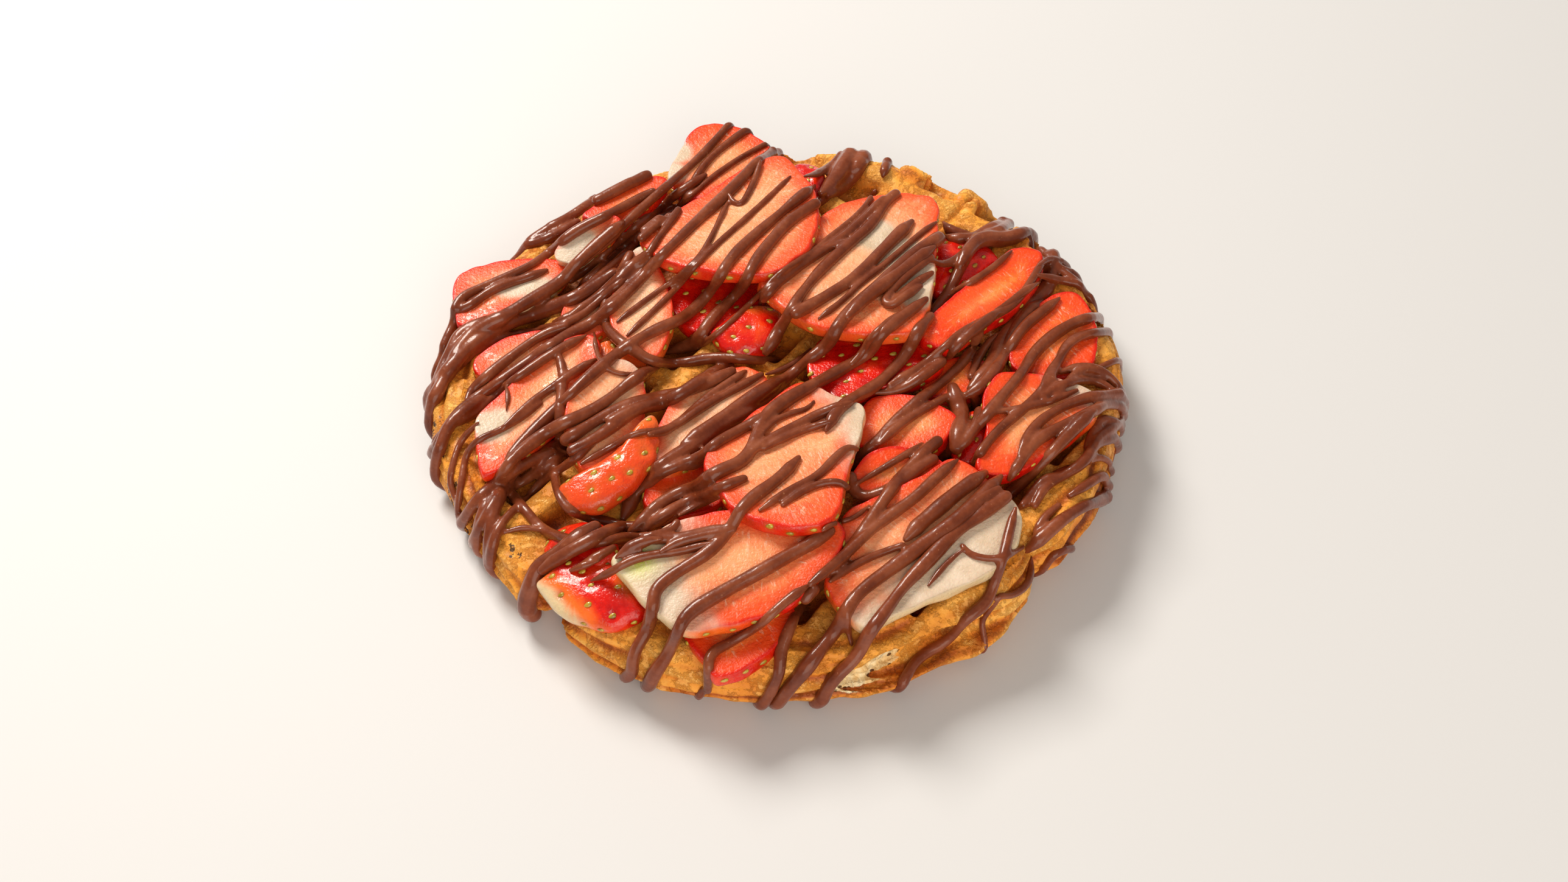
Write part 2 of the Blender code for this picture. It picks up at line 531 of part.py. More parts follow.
def thinned(points, slack):
    """Indices of the points that keep the line within the slack."""
    first, last = points[0], points[-1]
    axis = last - first
    worst, at = slack, None
    for k in range(1, len(points) - 1):
        share = (points[k] - first).dot(axis) / max(axis.length_squared, 1e-12)
        gap = (points[k] - first - axis * min(1, max(0, share))).length
        if gap > worst:
            worst, at = gap, k
    if at is None:
        return [0, len(points) - 1]
    return thinned(points[:at + 1], slack)[:-1] + [at + k for k in thinned(points[at:], slack)]


def strand_solid(points, normals, width, grow=0.0):
    """A bead of chocolate along a line of surface points, sunk a little into them."""
    radius = 0.5 * width * MM
    line = []
    for k in range(len(points)):
        near = range(max(0, k - 1), min(len(points), k + 2))
        place = sum((points[n] for n in near), Vector()) / len(near)
        rise = sum((normals[n] for n in near), Vector()).normalized()
        line.append((place + rise * 0.35 * radius, rise))
    kept = thinned([place for place, _ in line], STRAND_SLACK)
    rings = []
    for n, k in enumerate(kept):
        place, rise = line[k]
        before = line[kept[max(0, n - 1)]][0]
        after = line[kept[min(len(kept) - 1, n + 1)]][0]
        along = (after - before).normalized()
        side = along.cross(rise).normalized()
        rise = side.cross(along)
        if n in (0, len(kept) - 1):
            place += along * grow * (1 if n else -1)
        ring = []
        for s in range(STRAND_SIDES):
            turn = 2 * math.pi * s / STRAND_SIDES + math.pi / 2
            arm = side * math.cos(turn) + rise * math.sin(turn)
            ring.append(place + arm * (radius + grow))
        rings.append(ring)
    return loft("strand", rings)


def boxed(solid):
    """Lowest and highest corner of a solid."""
    spots = [vert.co for vert in solid.data.vertices]
    return [[pick(spot[k] for spot in spots) for k in range(3)] for pick in (min, max)]


def near(one, other):
    """Whether two boxes come within the clearance of each other."""
    return all(one[0][k] < other[1][k] + 3 * CLEAR and other[0][k] < one[1][k] + 3 * CLEAR
               for k in range(3))


# The waffle, pressed and grooved
waffle = waffle_disc("waffle")
combine(waffle, pocket_cutters() + groove_cutters(), "DIFFERENCE")
keep_largest(waffle)

# The pile of slices, each settled on what is already there
solids, laid_out = [waffle], {}


def grown(solid, margin):
    """A copy of the waffle or of a slice, without drizzle and a margin larger."""
    if solid is waffle:
        return waffle_disc("clearing", margin)
    return slice_solid("clearing", *laid_out[solid.name], margin)


for spec in SLICES:
    laid_out[spec[0]] = (spec[2], *settle(spec, tree_of(solids)[0]))
    fresh = slice_solid(spec[0], *laid_out[spec[0]])
    touched = []
    for other in solids:
        clearing = grown(other, 0.5 * CLEAR)
        if tree_of([fresh])[0].overlap(tree_of([clearing])[0]):
            touched.append(clearing)
        else:
            bpy.data.objects.remove(clearing, do_unlink=True)
    if touched:
        combine(fresh, touched, "DIFFERENCE")
        keep_largest(fresh)
    solids.append(fresh)

# The drizzle: each stretch is fused to the solid it lies on and cut clear of the others
tree, owner = tree_of(solids)
stretches = {solid.name: [] for solid in solids}
for strand in STRANDS:
    if strand[0] >= THINNEST_STRAND:
        for solid, points, normals in runs_of(strand, tree, owner):
            stretches[solid.name].append((points, normals, strand[0]))

laid = []
for solid in solids:
    beads = [strand_solid(*stretch) for stretch in stretches[solid.name]]
    if not beads:
        continue
    drizzle = beads.pop()
    if beads:
        combine(drizzle, beads, "UNION")
    box = boxed(drizzle)
    cutters = []
    for other in solids:
        if other is not solid and near(box, boxed(other)):
            cutters.append(grown(other, CLEAR))
    for stretch in laid:
        bead = strand_solid(*stretch, CLEAR)
        if near(box, boxed(bead)):
            cutters.append(bead)
        else:
            bpy.data.objects.remove(bead, do_unlink=True)
    if cutters:
        combine(drizzle, cutters, "DIFFERENCE")
    combine(solid, [drizzle], "UNION")
    keep_largest(solid)
    laid += stretches[solid.name]

# Finishes, and soft shading across the facets
crust = finish("waffle_crust", *CRUST)
strawberry = finish("strawberry", *STRAWBERRY)
for solid in solids:
    solid.data.materials.clear()
    solid.data.materials.append(crust if solid is waffle else strawberry)
    solid.data.shade_smooth()
    solid.data.set_sharp_from_angle(angle=math.radians(35))
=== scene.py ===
"""A round waffle heaped with strawberry slices and laced with chocolate, dressed on its solids.

Units are metres and +Z is up. The waffle's flat underside lies on z = 0 about the origin.
"""
import math
import random

import bpy
import numpy as np
from mathutils import Euler, Matrix, Vector, noise
from mathutils.bvhtree import BVHTree


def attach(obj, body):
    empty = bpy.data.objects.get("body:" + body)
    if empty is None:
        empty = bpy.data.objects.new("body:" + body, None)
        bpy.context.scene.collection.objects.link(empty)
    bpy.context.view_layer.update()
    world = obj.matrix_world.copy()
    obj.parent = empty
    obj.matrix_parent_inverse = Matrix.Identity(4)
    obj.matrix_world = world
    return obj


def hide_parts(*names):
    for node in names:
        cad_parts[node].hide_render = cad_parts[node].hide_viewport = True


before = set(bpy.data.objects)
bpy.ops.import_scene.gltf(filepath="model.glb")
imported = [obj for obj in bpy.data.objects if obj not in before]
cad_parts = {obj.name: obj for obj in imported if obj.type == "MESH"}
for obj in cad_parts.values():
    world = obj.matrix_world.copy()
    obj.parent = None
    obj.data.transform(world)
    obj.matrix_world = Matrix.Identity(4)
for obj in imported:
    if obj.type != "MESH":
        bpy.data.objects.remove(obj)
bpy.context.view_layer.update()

MM = 0.001

# The view: where the camera looks, from how far, and its lens
AIM = Vector((2.15, -8.3, 0)) * MM
DISTANCE = 508 * MM
ELEVATION = math.radians(52.05)
ROLL = math.radians(0.8)
FOCAL_PIXELS = 3000
PHOTO_WIDTH = 2576
SENSOR = 36

# The waffle, in the sizes of its solid
RADIUS = 92.5 * MM
THICKNESS = 20 * MM
GRID_TURN = math.radians(50)
PITCH = 20 * MM
POCKET_TOP = 14 * MM
POCKET_FLOOR = 10 * MM
POCKET_DEPTH = 6.5 * MM
RIM = 6.5 * MM
NOTCHES = (math.radians(-128.7), math.radians(-40.2))
# Where the side stands out or draws in: middle and spread in degrees, swell in millimetres
SWELLS = ((178, 22, 3.5), (8, 24, 4), (-102, 24, 3), (-62, 10, -1), (50, 20, 1.5), (117, 16, -1.5))
CRUMB_SPAN = (math.radians(-80), math.radians(-49))
# The headings between which the pockets near the rim are open to the side
OPEN_SPAN = (math.radians(12), math.radians(88))
# Levels of the side from the foot up: inset from the full radius and height
SIDE = ((8, 0), (3, 3.5), (0, 7.2), (0.7, 8.6), (1.6, 13.0), (2.8, 17.2), (6, 20))

# The toppings, and how many millimetres the slices' outlines grow from their stations
FLAT_THICK = 4.6 * MM
ROUND_THICK = 5.6 * MM
SPREAD = 1.0
SEED_RADIUS = 0.5 * MM

# How finely the baked and the poured surfaces are meshed, their most triangles, and the lowest
# that the sauce reaches
CRUST_CELL = 0.7 * MM
CRUST_TRIANGLES = 195000
SAUCE_CELL = 0.4 * MM
SAUCE_TRIANGLES = 190000
LOWEST = 0.1 * MM

# Where the stations of slices and strands were sighted from, and the level they were read on
EYE = Vector((2, -321, 401)) * MM
SIGHT_LEVEL = 26 * MM

# Slices from the bottom of the pile up: name, heading of the tip in degrees, whether it is a
# rounded end cut instead of a flat slice, then its outline as stations in millimetres
SLICES = (
    ("slice_right_under", 50, True, (42, 36), (42, 26), (46, 23), (54, 29), (61, 35), (61, 40),
     (55, 45), (49, 45), (44, 44)),
    ("slice_back_scrap", 120, True, (3, 66), (7, 61), (12, 61), (13, 67), (12, 72), (7, 74),
     (4, 74)),
    ("slice_back_left_scrap", 45, True, (-46, 48), (-42, 46), (-37, 51), (-39, 57), (-43, 59),
     (-48, 55)),
    ("slice_right_scrap", 250, True, (47, -25), (46, -32), (48, -36), (52, -35), (56, -27),
     (58, -21), (55, -17), (50, -19)),
    ("slice_front_left_under", 190, True, (-51, -68), (-45, -69), (-40, -66), (-40, -60),
     (-44, -56), (-50, -57), (-55, -60), (-57, -65)),
    ("slice_right_inner", 230, False, (40, -12), (46, -13), (54, -10), (58, -5), (57, -1), (50, 1),
     (42, -2), (39, -6)),
    ("slice_left_scrap", 300, False, (-49, 1), (-47, -5), (-43, -8), (-36, -7), (-36, -1),
     (-40, 4), (-47, 5)),
    ("slice_centre_round", 190, False, (9, -5), (10, -8), (14, -11), (17, -14), (28, -9), (35, -8),
     (42, -4), (45, 0), (41, 6), (29, 10), (19, 10), (12, 7), (9, 0)),
    ("slice_centre_right", 200, False, (27, -32), (33, -32), (41, -30), (46, -24), (47, -19),
     (42, -16), (36, -13), (28, -13), (23, -17), (21, -23), (21, -29)),
    ("slice_front_inner", 190, False, (-28, -53), (-21, -52), (-14, -49), (-13, -43), (-15, -39),
     (-21, -38), (-27, -40), (-32, -43), (-33, -49)),
    ("slice_left_inner", 235, False, (-56, 8), (-50, 7), (-45, 12), (-42, 20), (-39, 30),
     (-41, 38), (-45, 37), (-50, 32), (-55, 24), (-59, 17), (-59, 11)),
    ("slice_back_left_rim", 205, False, (-50, 50), (-43, 51), (-40, 56), (-36, 61), (-33, 67),
     (-37, 69), (-44, 66), (-50, 61), (-54, 56), (-57, 53)),
    ("slice_back_left", 50, False, (-46, 50), (-47, 52), (-50, 53), (-56, 50), (-59, 45),
     (-63, 39), (-62, 35), (-57, 33), (-53, 38), (-49, 43)),
    ("slice_left_mid", 200, False, (-78, -9), (-71, -10), (-64, -8), (-58, -2), (-58, 5), (-61, 8),
     (-67, 7), (-72, 6), (-76, 3), (-82, -3)),
    ("slice_back", 20, False, (-30, 63), (-19, 60), (-7, 66), (-2, 75), (-4, 82), (-8, 87),
     (-15, 91), (-21, 92), (-27, 88), (-29, 80), (-33, 70)),
    ("slice_centre_back", 200, False, (-29, 17), (-25, 11), (-20, 9), (-11, 12), (-6, 18),
     (-4, 24), (-6, 31), (-15, 34), (-25, 33), (-29, 29), (-31, 25)),
    ("slice_front_rim", 215, False, (-21, -87), (-19, -90), (-16, -93), (-14, -98), (-12, -99),
     (-7, -97), (-1, -92), (4, -86), (5, -80), (0, -78), (-9, -79), (-16, -82)),
    ("slice_centre_front", 195, False, (21, -44), (26, -46), (36, -45), (43, -42), (44, -36),
     (41, -33), (36, -31), (30, -30), (24, -33), (20, -39)),
    ("slice_left_back", 190, False, (-88, 15), (-87, 10), (-81, 12), (-74, 15), (-69, 20),
     (-63, 25), (-59, 31), (-60, 34), (-67, 36), (-74, 35), (-84, 32), (-89, 29), (-90, 24)),
    ("slice_left_long", 262, False, (-41, 40), (-43, 33), (-45, 24), (-46, 13), (-43, 6), (-38, 2),
     (-33, 0), (-31, 4), (-29, 13), (-30, 20), (-32, 27), (-35, 35), (-38, 41)),
    ("slice_middle_round", 170, True, (-18, 9), (-16, 5), (-11, 1), (-4, 2), (0, 6), (1, 13),
     (0, 17), (-5, 18), (-10, 17), (-14, 12)),
    ("slice_right_back", 222, False, (63, 39), (55, 29), (48, 22), (43, 17), (39, 10), (41, 6),
     (48, 4), (57, 14), (62, 17), (68, 23), (73, 30), (75, 41), (70, 42), (66, 42)),
    ("slice_right_rim", 215, False, (72, 21), (68, 13), (63, 4), (64, -2), (71, -5), (81, -4),
     (85, 0), (87, 10), (86, 19), (83, 25), (79, 25)),
    ("slice_right_front", 222, False, (57, -8), (55, -17), (56, -25), (53, -31), (52, -37),
     (58, -39), (64, -36), (70, -31), (77, -25), (84, -19), (86, -12), (80, -8), (71, -5),
     (61, -4)),
    ("slice_left_large", 240, False, (-77, -33), (-75, -40), (-73, -40), (-68, -37), (-62, -30),
     (-58, -24), (-53, -15), (-50, -6), (-48, 3), (-50, 7), (-55, 7), (-60, 4), (-65, -2),
     (-70, -10), (-74, -16), (-78, -21), (-78, -27)),
    ("slice_left_pale", 230, False, (-53, -31), (-50, -38), (-46, -38), (-41, -33), (-36, -24),
     (-35, -16), (-36, -7), (-40, -2), (-45, -1), (-50, -7), (-55, -14), (-55, -21)),
    ("slice_middle_long", 45, False, (-18, -8), (-26, -13), (-29, -20), (-31, -28), (-31, -38),
     (-28, -38), (-22, -36), (-18, -33), (-14, -26), (-10, -21), (-6, -15), (-2, -8), (-6, -5),
     (-10, -3)),
    ("slice_left_round", 215, True, (-41, -34), (-46, -38), (-51, -41), (-55, -44), (-53, -49),
     (-51, -51), (-46, -52), (-42, -50), (-37, -45), (-34, -40), (-31, -35), (-31, -28),
     (-32, -21), (-35, -22)),
    ("slice_front_left_round", 200, True, (-55, -78), (-50, -83), (-43, -86), (-38, -86),
     (-32, -83), (-31, -79), (-36, -72), (-41, -67), (-47, -64), (-51, -66), (-56, -72),
     (-58, -74)),
    ("slice_front_right_large", 232, False, (14, -75), (16, -79), (19, -82), (24, -86), (28, -82),
     (34, -78), (40, -75), (46, -72), (52, -69), (56, -66), (61, -58), (62, -51), (61, -48),
     (57, -44), (52, -37), (45, -33), (41, -37), (33, -43), (25, -47), (18, -51), (16, -60),
     (14, -68), (13, -72)),
    ("slice_back_right_large", 200, False, (-1, 22), (8, 13), (20, 10), (30, 9), (38, 11),
     (41, 20), (43, 32), (45, 51), (46, 62), (37, 64), (26, 62), (16, 58), (11, 52), (9, 46),
     (5, 36), (-3, 31), (-6, 27)),
    ("slice_back_large", 60, False, (-6, 77), (-13, 71), (-19, 64), (-28, 56), (-36, 51),
     (-40, 45), (-37, 40), (-31, 35), (-20, 32), (-9, 31), (0, 32), (4, 37), (8, 42), (10, 48),
     (11, 57), (8, 68), (4, 74), (1, 79)),
    ("slice_front_large", 5, False, (-36, -72), (-31, -78), (-28, -81), (-24, -85), (-20, -87),
     (-12, -85), (-3, -82), (5, -78), (9, -72), (13, -68), (17, -61), (17, -55), (13, -52),
     (2, -53), (-11, -51), (-25, -55), (-29, -58), (-37, -63), (-40, -66)),
    ("slice_middle_large", 200, False, (0, -14), (-6, -20), (-12, -26), (-17, -31), (-18, -37),
     (-16, -40), (-13, -45), (-10, -50), (-7, -52), (-1, -54), (5, -55), (12, -54), (16, -50),
     (17, -42), (18, -38), (20, -30), (22, -24), (23, -17), (19, -15), (15, -13), (10, -10),
     (6, -8)),
)

# Chocolate strands: width, then the stations they run through, in millimetres
STRANDS = (
    (3.2, (-40, 50), (-41, 40), (-45, 28), (-48, 18), (-47, 11), (-44, 6), (-39, 2), (-34, -2),
     (-27, -3), (-16, 0), (-7, -1), (0, -1)),
    (2.8, (-15, 93), (-24, 77), (-37, 60), (-44, 50), (-48, 43), (-54, 36), (-58, 31)),
    (2.4, (-10, 90), (-20, 79), (-25, 69), (-29, 55), (-35, 43), (-38, 34), (-42, 25), (-50, 15)),
    (3.4, (1, 83), (-7, 76), (-14, 64), (-23, 52), (-34, 36), (-40, 25), (-50, 12), (-57, 7),
     (-67, -3), (-79, -15), (-85, -23), (-88, -33)),
    (1.9, (-4, 84), (-15, 75), (-27, 60), (-38, 45)),
    (3.4, (10, 66), (3, 58), (-6, 47), (-14, 36), (-18, 25), (-25, 14), (-34, 9), (-43, 1),
     (-52, -10), (-61, -23), (-67, -32), (-70, -38)),
    (3.6, (14, 62), (3, 52), (-2, 44), (-7, 35), (-10, 25), (-18, 14), (-22, 5), (-30, 1)),
    (1.9, (4, 35), (-3, 26), (-11, 15), (-20, 4), (-25, 1)),
    (1.9, (-15, 59), (-21, 39), (-27, 30), (-34, 23), (-44, 12)),
    (1.9, (3, 70), (-6, 57), (-17, 43), (-23, 34), (-30, 22), (-41, 7)),
    (4.2, (-35, 75), (-42, 71), (-53, 63), (-62, 55), (-67, 48), (-76, 43)),
    (3.0, (-37, 63), (-48, 54), (-59, 46), (-66, 36), (-73, 30), (-83, 24), (-88, 20), (-89, 15)),
    (4.0, (-45, 50), (-57, 34), (-60, 27), (-69, 19), (-77, 12), (-86, 8), (-88, 0), (-90, -9),
     (-91, -20)),
    (3.0, (-65, 31), (-70, 28), (-79, 24), (-86, 16)),
    (4.0, (-72, 15), (-80, 10), (-85, 4), (-88, -7), (-91, -18)),
    (2.0, (-64, 9), (-73, 7), (-80, 2), (-86, -6)),
    (1.8, (-50, 8), (-49, 1), (-46, -5), (-41, -7), (-37, -6)),
    (3.0, (-59, 0), (-57, -7), (-57, -15), (-57, -21), (-56, -26), (-57, -35), (-56, -44),
     (-53, -51), (-47, -54), (-42, -55), (-37, -57), (-29, -55), (-24, -52)),
    (3.4, (-32, -4), (-37, -7), (-44, -15), (-49, -20), (-58, -25), (-64, -31), (-68, -36),
     (-71, -43), (-73, -50), (-74, -59), (-74, -67)),
    (4.0, (46, 46), (37, 38), (29, 28), (22, 20), (17, 13), (14, 5), (9, 0), (2, -8), (-4, -15),
     (-7, -19), (-15, -24), (-18, -28), (-23, -32), (-28, -36), (-33, -41), (-36, -47), (-38, -54)),
    (3.6, (41, 22), (34, 15), (28, 9), (25, 2), (16, -5), (9, -10), (1, -16), (-4, -22), (-7, -35),
     (-15, -39), (-19, -43), (-25, -46), (-30, -50), (-33, -55), (-36, -58)),
    (3.5, (6, -34), (1, -41), (-8, -49), (-11, -57), (-16, -64), (-24, -70), (-29, -75),
     (-29, -80), (-30, -87), (-33, -93), (-33, -99)),
    (3.6, (14, -57), (9, -61), (3, -65), (-4, -70), (-13, -76), (-21, -82), (-23, -88), (-25, -94),
     (-28, -99), (-29, -103)),
    (2.6, (9, -73), (3, -78), (-3, -85), (-10, -90), (-15, -93), (-15, -99), (-15, -104)),
    (3.4, (42, -28), (38, -32), (33, -39), (27, -48), (23, -56), (17, -65), (12, -72), (7, -78),
     (4, -86), (2, -92), (2, -98), (0, -103)),
    (3.0, (-70, -43), (-66, -48), (-62, -53), (-58, -58), (-51, -61), (-44, -62), (-39, -60),
     (-32, -60), (-24, -60), (-17, -58), (-11, -56)),
    (2.0, (-68, -59), (-63, -57), (-58, -58)),
    (5.0, (-45, -57), (-49, -61), (-54, -66), (-58, -69), (-59, -74), (-60, -79), (-59, -85)),
    (3.0, (-40, -63), (-44, -66), (-48, -69)),
    (2.4, (-15, -61), (-24, -64), (-31, -65), (-36, -67), (-41, -71), (-45, -73)),
    (3.6, (-78, -16), (-83, -21), (-86, -26), (-87, -34)),
    (1.9, (-78, -24), (-82, -30), (-83, -38), (-83, -44), (-80, -50)),
    (2.0, (-62, -17), (-71, -26), (-77, -29), (-80, -34), (-80, -43), (-80, -50)),
    (3.6, (-12, -5), (-22, -12), (-36, -16), (-44, -20), (-52, -27), (-61, -35), (-67, -39),
     (-70, -47), (-71, -54), (-71, -62), (-70, -68)),
    (2.6, (-42, -22), (-48, -30), (-52, -36), (-58, -41), (-63, -48)),
    (2.0, (-26, -22), (-29, -26), (-36, -26), (-42, -31), (-50, -37)),
    (5.0, (26, 82), (20, 68), (14, 62)),
    (3.4, (36, 65), (31, 61), (27, 51), (21, 44), (12, 33), (6, 23), (3, 16), (0, 9), (-3, 2)),
    (2.0, (28, 65), (24, 56), (17, 48), (8, 38), (1, 32), (-4, 25), (-5, 19)),
    (3.6, (38, 52), (29, 40), (22, 30), (14, 23), (5, 16)),
    (2.0, (45, 52), (40, 47), (30, 35), (23, 28), (18, 21), (11, 14)),
    (2.8, (43, 32), (36, 26), (31, 19)),
    (3.6, (54, 41), (51, 34), (48, 26), (43, 17), (38, 10), (35, 2), (31, -4), (26, -10),
     (20, -14), (16, -18), (13, -25)),
    (4.2, (68, 54), (60, 49), (55, 45), (47, 46)),
    (2.6, (75, 38), (70, 28), (65, 20), (59, 16), (50, 10), (44, 3), (37, -4), (30, -9)),
    (4.4, (77, 36), (76, 28), (68, 18), (61, 8), (58, -2), (52, -10)),
    (3.2, (78, 23), (73, 18), (67, 12), (61, 1), (56, -7)),
    (3.4, (55, 11), (51, 0), (45, -7), (38, -14), (30, -23), (25, -30), (20, -36), (19, -41),
     (21, -46), (25, -46), (32, -42), (38, -36), (46, -30), (52, -24), (61, -11), (66, -4),
     (70, 4), (78, 12), (85, 16), (92, 16)),
    (3.0, (93, 11), (84, 10), (79, 7), (75, -2), (72, -9), (66, -16), (57, -25), (51, -35)),
    (5.0, (47, -10), (48, -16), (49, -19), (47, -30)),
    (2.0, (94, 2), (85, -3), (79, -7), (74, -9), (74, -3), (78, 5)),
    (2.0, (80, -10), (73, -14), (70, -15), (58, -18)),
    (3.4, (88, -14), (84, -17), (79, -20), (69, -26), (65, -31), (60, -40)),
    (3.6, (84, -17), (79, -22), (71, -32), (61, -44), (51, -52), (45, -57), (37, -67), (32, -73),
     (27, -81), (23, -87), (20, -94), (14, -100), (12, -105)),
    (3.0, (47, -34), (41, -40), (36, -46), (29, -52), (23, -58), (16, -66), (9, -73)),
    (4.4, (54, -38), (48, -43), (42, -49), (36, -55), (33, -59)),
    (4.0, (58, -39), (51, -48), (46, -53), (38, -60), (29, -68), (21, -75), (18, -80), (16, -85),
     (10, -94), (5, -101), (1, -107)),
    (2.0, (38, -29), (33, -33), (21, -42)),
    (2.0, (14, -72), (21, -66), (32, -61)),
    (2.4, (21, -31), (19, -30), (16, -33), (11, -40), (3, -45), (-4, -51)),
    (2.0, (19, -44), (16, -41), (9, -43), (2, -49)),
    (2.6, (62, -49), (65, -47), (69, -40), (77, -36), (84, -32)),
    (2.6, (65, -59), (67, -53), (72, -48)),
    (4.0, (63, -62), (68, -57), (73, -52), (80, -47), (85, -45)),
    (3.0, (61, -49), (59, -56), (57, -64), (55, -70), (52, -78), (47, -82), (42, -89), (35, -93),
     (31, -100)),
    (2.0, (47, -61), (49, -64), (56, -65), (62, -61)),
    (2.0, (64, -64), (63, -72), (58, -76), (55, -75)),
    (3.0, (75, 41), (79, 33), (86, 32), (90, 27)),

    # Finer strands and the doubles that make ribbons, poured over the first
    (4.4, (-46, 30), (-53, 23), (-60, 18), (-70, 13), (-79, 7), (-85, 0), (-89, -9)),
    (3.0, (-37, 38), (-44, 29), (-50, 21), (-55, 15), (-61, 11)),
    (2.4, (-43, 28), (-50, 19), (-54, 14), (-60, 10), (-66, 9)),
    (3.0, (-58, 10), (-64, 7), (-69, 2), (-76, -6), (-81, -13), (-82, -17)),
    (2.6, (-52, 7), (-60, 1), (-66, -5), (-72, -11), (-77, -18), (-80, -22), (-86, -25)),
    (1.6, (-72, -11), (-71, -15), (-71, -20)),
    (2.6, (-48, -1), (-54, -6), (-59, -11), (-64, -16), (-71, -25)),
    (3.2, (-28, -13), (-35, -17), (-40, -22), (-46, -28), (-53, -33), (-60, -38), (-66, -45)),
    (3.6, (-58, -33), (-64, -37), (-70, -42), (-76, -50), (-79, -58), (-80, -66), (-79, -70)),
    (3.2, (-66, -42), (-70, -47), (-73, -55), (-75, -62), (-75, -69)),
    (2.8, (-62, -47), (-66, -52), (-69, -57), (-70, -63), (-70, -70)),
    (4.0, (-38, -56), (-46, -61), (-53, -66), (-57, -70)),
    (2.2, (-50, -70), (-46, -68), (-43, -67)),
    (3.0, (-28, -60), (-33, -61), (-37, -64), (-39, -66)),
    (2.4, (-24, -53), (-25, -57), (-30, -59), (-36, -60)),
    (2.6, (-10, -57), (-18, -59), (-24, -61), (-28, -64)),
    (3.2, (-8, -41), (-16, -45), (-23, -49), (-28, -53), (-33, -58)),
    (2.0, (-14, -47), (-20, -50), (-24, -53)),
    (3.4, (-44, 66), (-54, 58), (-60, 52), (-67, 46), (-75, 42)),
    (3.0, (-38, 73), (-46, 68), (-56, 60), (-64, 52)),
    (3.4, (-58, 50), (-64, 44), (-72, 40), (-80, 37)),
    (3.0, (-22, 70), (-31, 61), (-40, 50), (-46, 42), (-52, 34), (-58, 27)),
    (3.0, (-28, 58), (-36, 50), (-43, 41), (-50, 32), (-56, 24)),
    (2.6, (-33, 52), (-40, 43), (-46, 34), (-52, 26), (-58, 20)),
    (2.6, (-38, 38), (-44, 28), (-50, 21), (-57, 14)),
    (2.2, (-15, 62), (-13, 58), (-11, 58), (-9, 63), (-7, 70), (-6, 76)),
    (4.2, (-12, -3), (-18, -7), (-24, -12), (-29, -16), (-36, -18), (-43, -23)),
    (2.4, (-7, -4), (-14, -10), (-21, -17), (-28, -26), (-33, -27)),
    (2.4, (-4, -6), (-12, -12), (-20, -18), (-26, -24)),
    (4.0, (2, -7), (-6, -14), (-14, -21), (-20, -27), (-24, -30)),
    (3.2, (-2, -19), (-9, -25), (-15, -29), (-19, -34), (-25, -37), (-30, -40), (-35, -46)),
    (2.4, (-19, -31), (-18, -34), (-20, -37), (-26, -38)),
    (1.8, (10, -15), (8, -18), (4, -19), (-1, -22), (-5, -28), (-8, -33)),
    (2.8, (20, -15), (12, -19), (6, -23), (0, -27), (-6, -32)),
    (2.4, (14, -22), (9, -24), (3, -27), (-3, -31)),
    (1.6, (24, -49), (20, -53), (17, -54), (14, -55), (12, -57)),
    (2.0, (9, 3), (5, -2), (0, -5), (-3, -6)),
    (5.0, (14, 84), (9, 82), (5, 78), (2, 76)),
    (2.4, (18, 80), (15, 75), (11, 71), (7, 70)),
    (5.0, (21, 80), (18, 73), (15, 67), (12, 63)),
    (3.0, (30, 61), (23, 51), (15, 42), (7, 35), (0, 28), (-4, 21)),
    (2.2, (22, 45), (18, 43), (13, 41)),
    (4.0, (44, 42), (37, 35), (30, 28), (24, 22), (19, 15)),
    (2.8, (43, 38), (37, 32), (32, 26), (29, 21), (31, 19), (34, 22), (40, 27)),
    (2.4, (34, 17), (29, 12), (25, 7), (23, 2), (20, -2)),
    (3.4, (47, 52), (49, 48), (54, 47)),
    (4.0, (71, 58), (66, 52), (62, 47), (55, 46)),
    (4.4, (70, 48), (64, 45), (58, 46), (54, 42), (51, 35)),
    (2.4, (54, 42), (50, 37), (46, 35), (43, 37)),
    (2.2, (66, 41), (60, 34), (53, 28), (47, 23)),
    (4.4, (43, 66), (47, 67), (51, 70), (54, 73)),
    (3.0, (33, 80), (31, 75), (30, 70)),
    (2.2, (73, 29), (69, 26), (64, 21), (60, 18)),
    (2.8, (62, 19), (57, 14), (51, 8), (46, 1), (39, -6), (33, -11), (26, -12)),
    (2.8, (61, 10), (57, 6), (54, 0), (52, -6)),
    (2.6, (45, -13), (38, -18), (31, -24), (27, -29)),
    (4.0, (73, 22), (67, 15), (63, 7), (60, -1), (55, -9), (51, -12)),
    (3.4, (52, -12), (54, -16), (53, -22), (50, -27), (47, -31)),
    (2.4, (86, -19), (83, -24), (81, -29), (80, -33)),
    (2.8, (88, -26), (83, -28), (80, -34), (75, -38), (69, -42), (66, -48)),
    (3.0, (79, 34), (84, 28), (90, 24), (92, 21)),
    (2.6, (72, 32), (78, 30), (86, 28), (91, 23)),
    (2.6, (76, -4), (80, -2), (86, -2), (90, -6), (92, -11)),
    (2.6, (71, -12), (76, -8), (83, -6), (88, -8), (91, -13)),
    (1.8, (18, -78), (18, -85), (19, -90)),
    (2.6, (60, -42), (55, -44), (50, -48), (46, -52)),
    (1.6, (47, -62), (43, -66), (40, -70), (38, -73)),
    (3.4, (74, -38), (69, -40), (66, -44), (63, -48)),
    (2.8, (84, -38), (79, -42), (75, -45)),
    (2.4, (76, -60), (71, -62), (68, -65), (66, -69)),
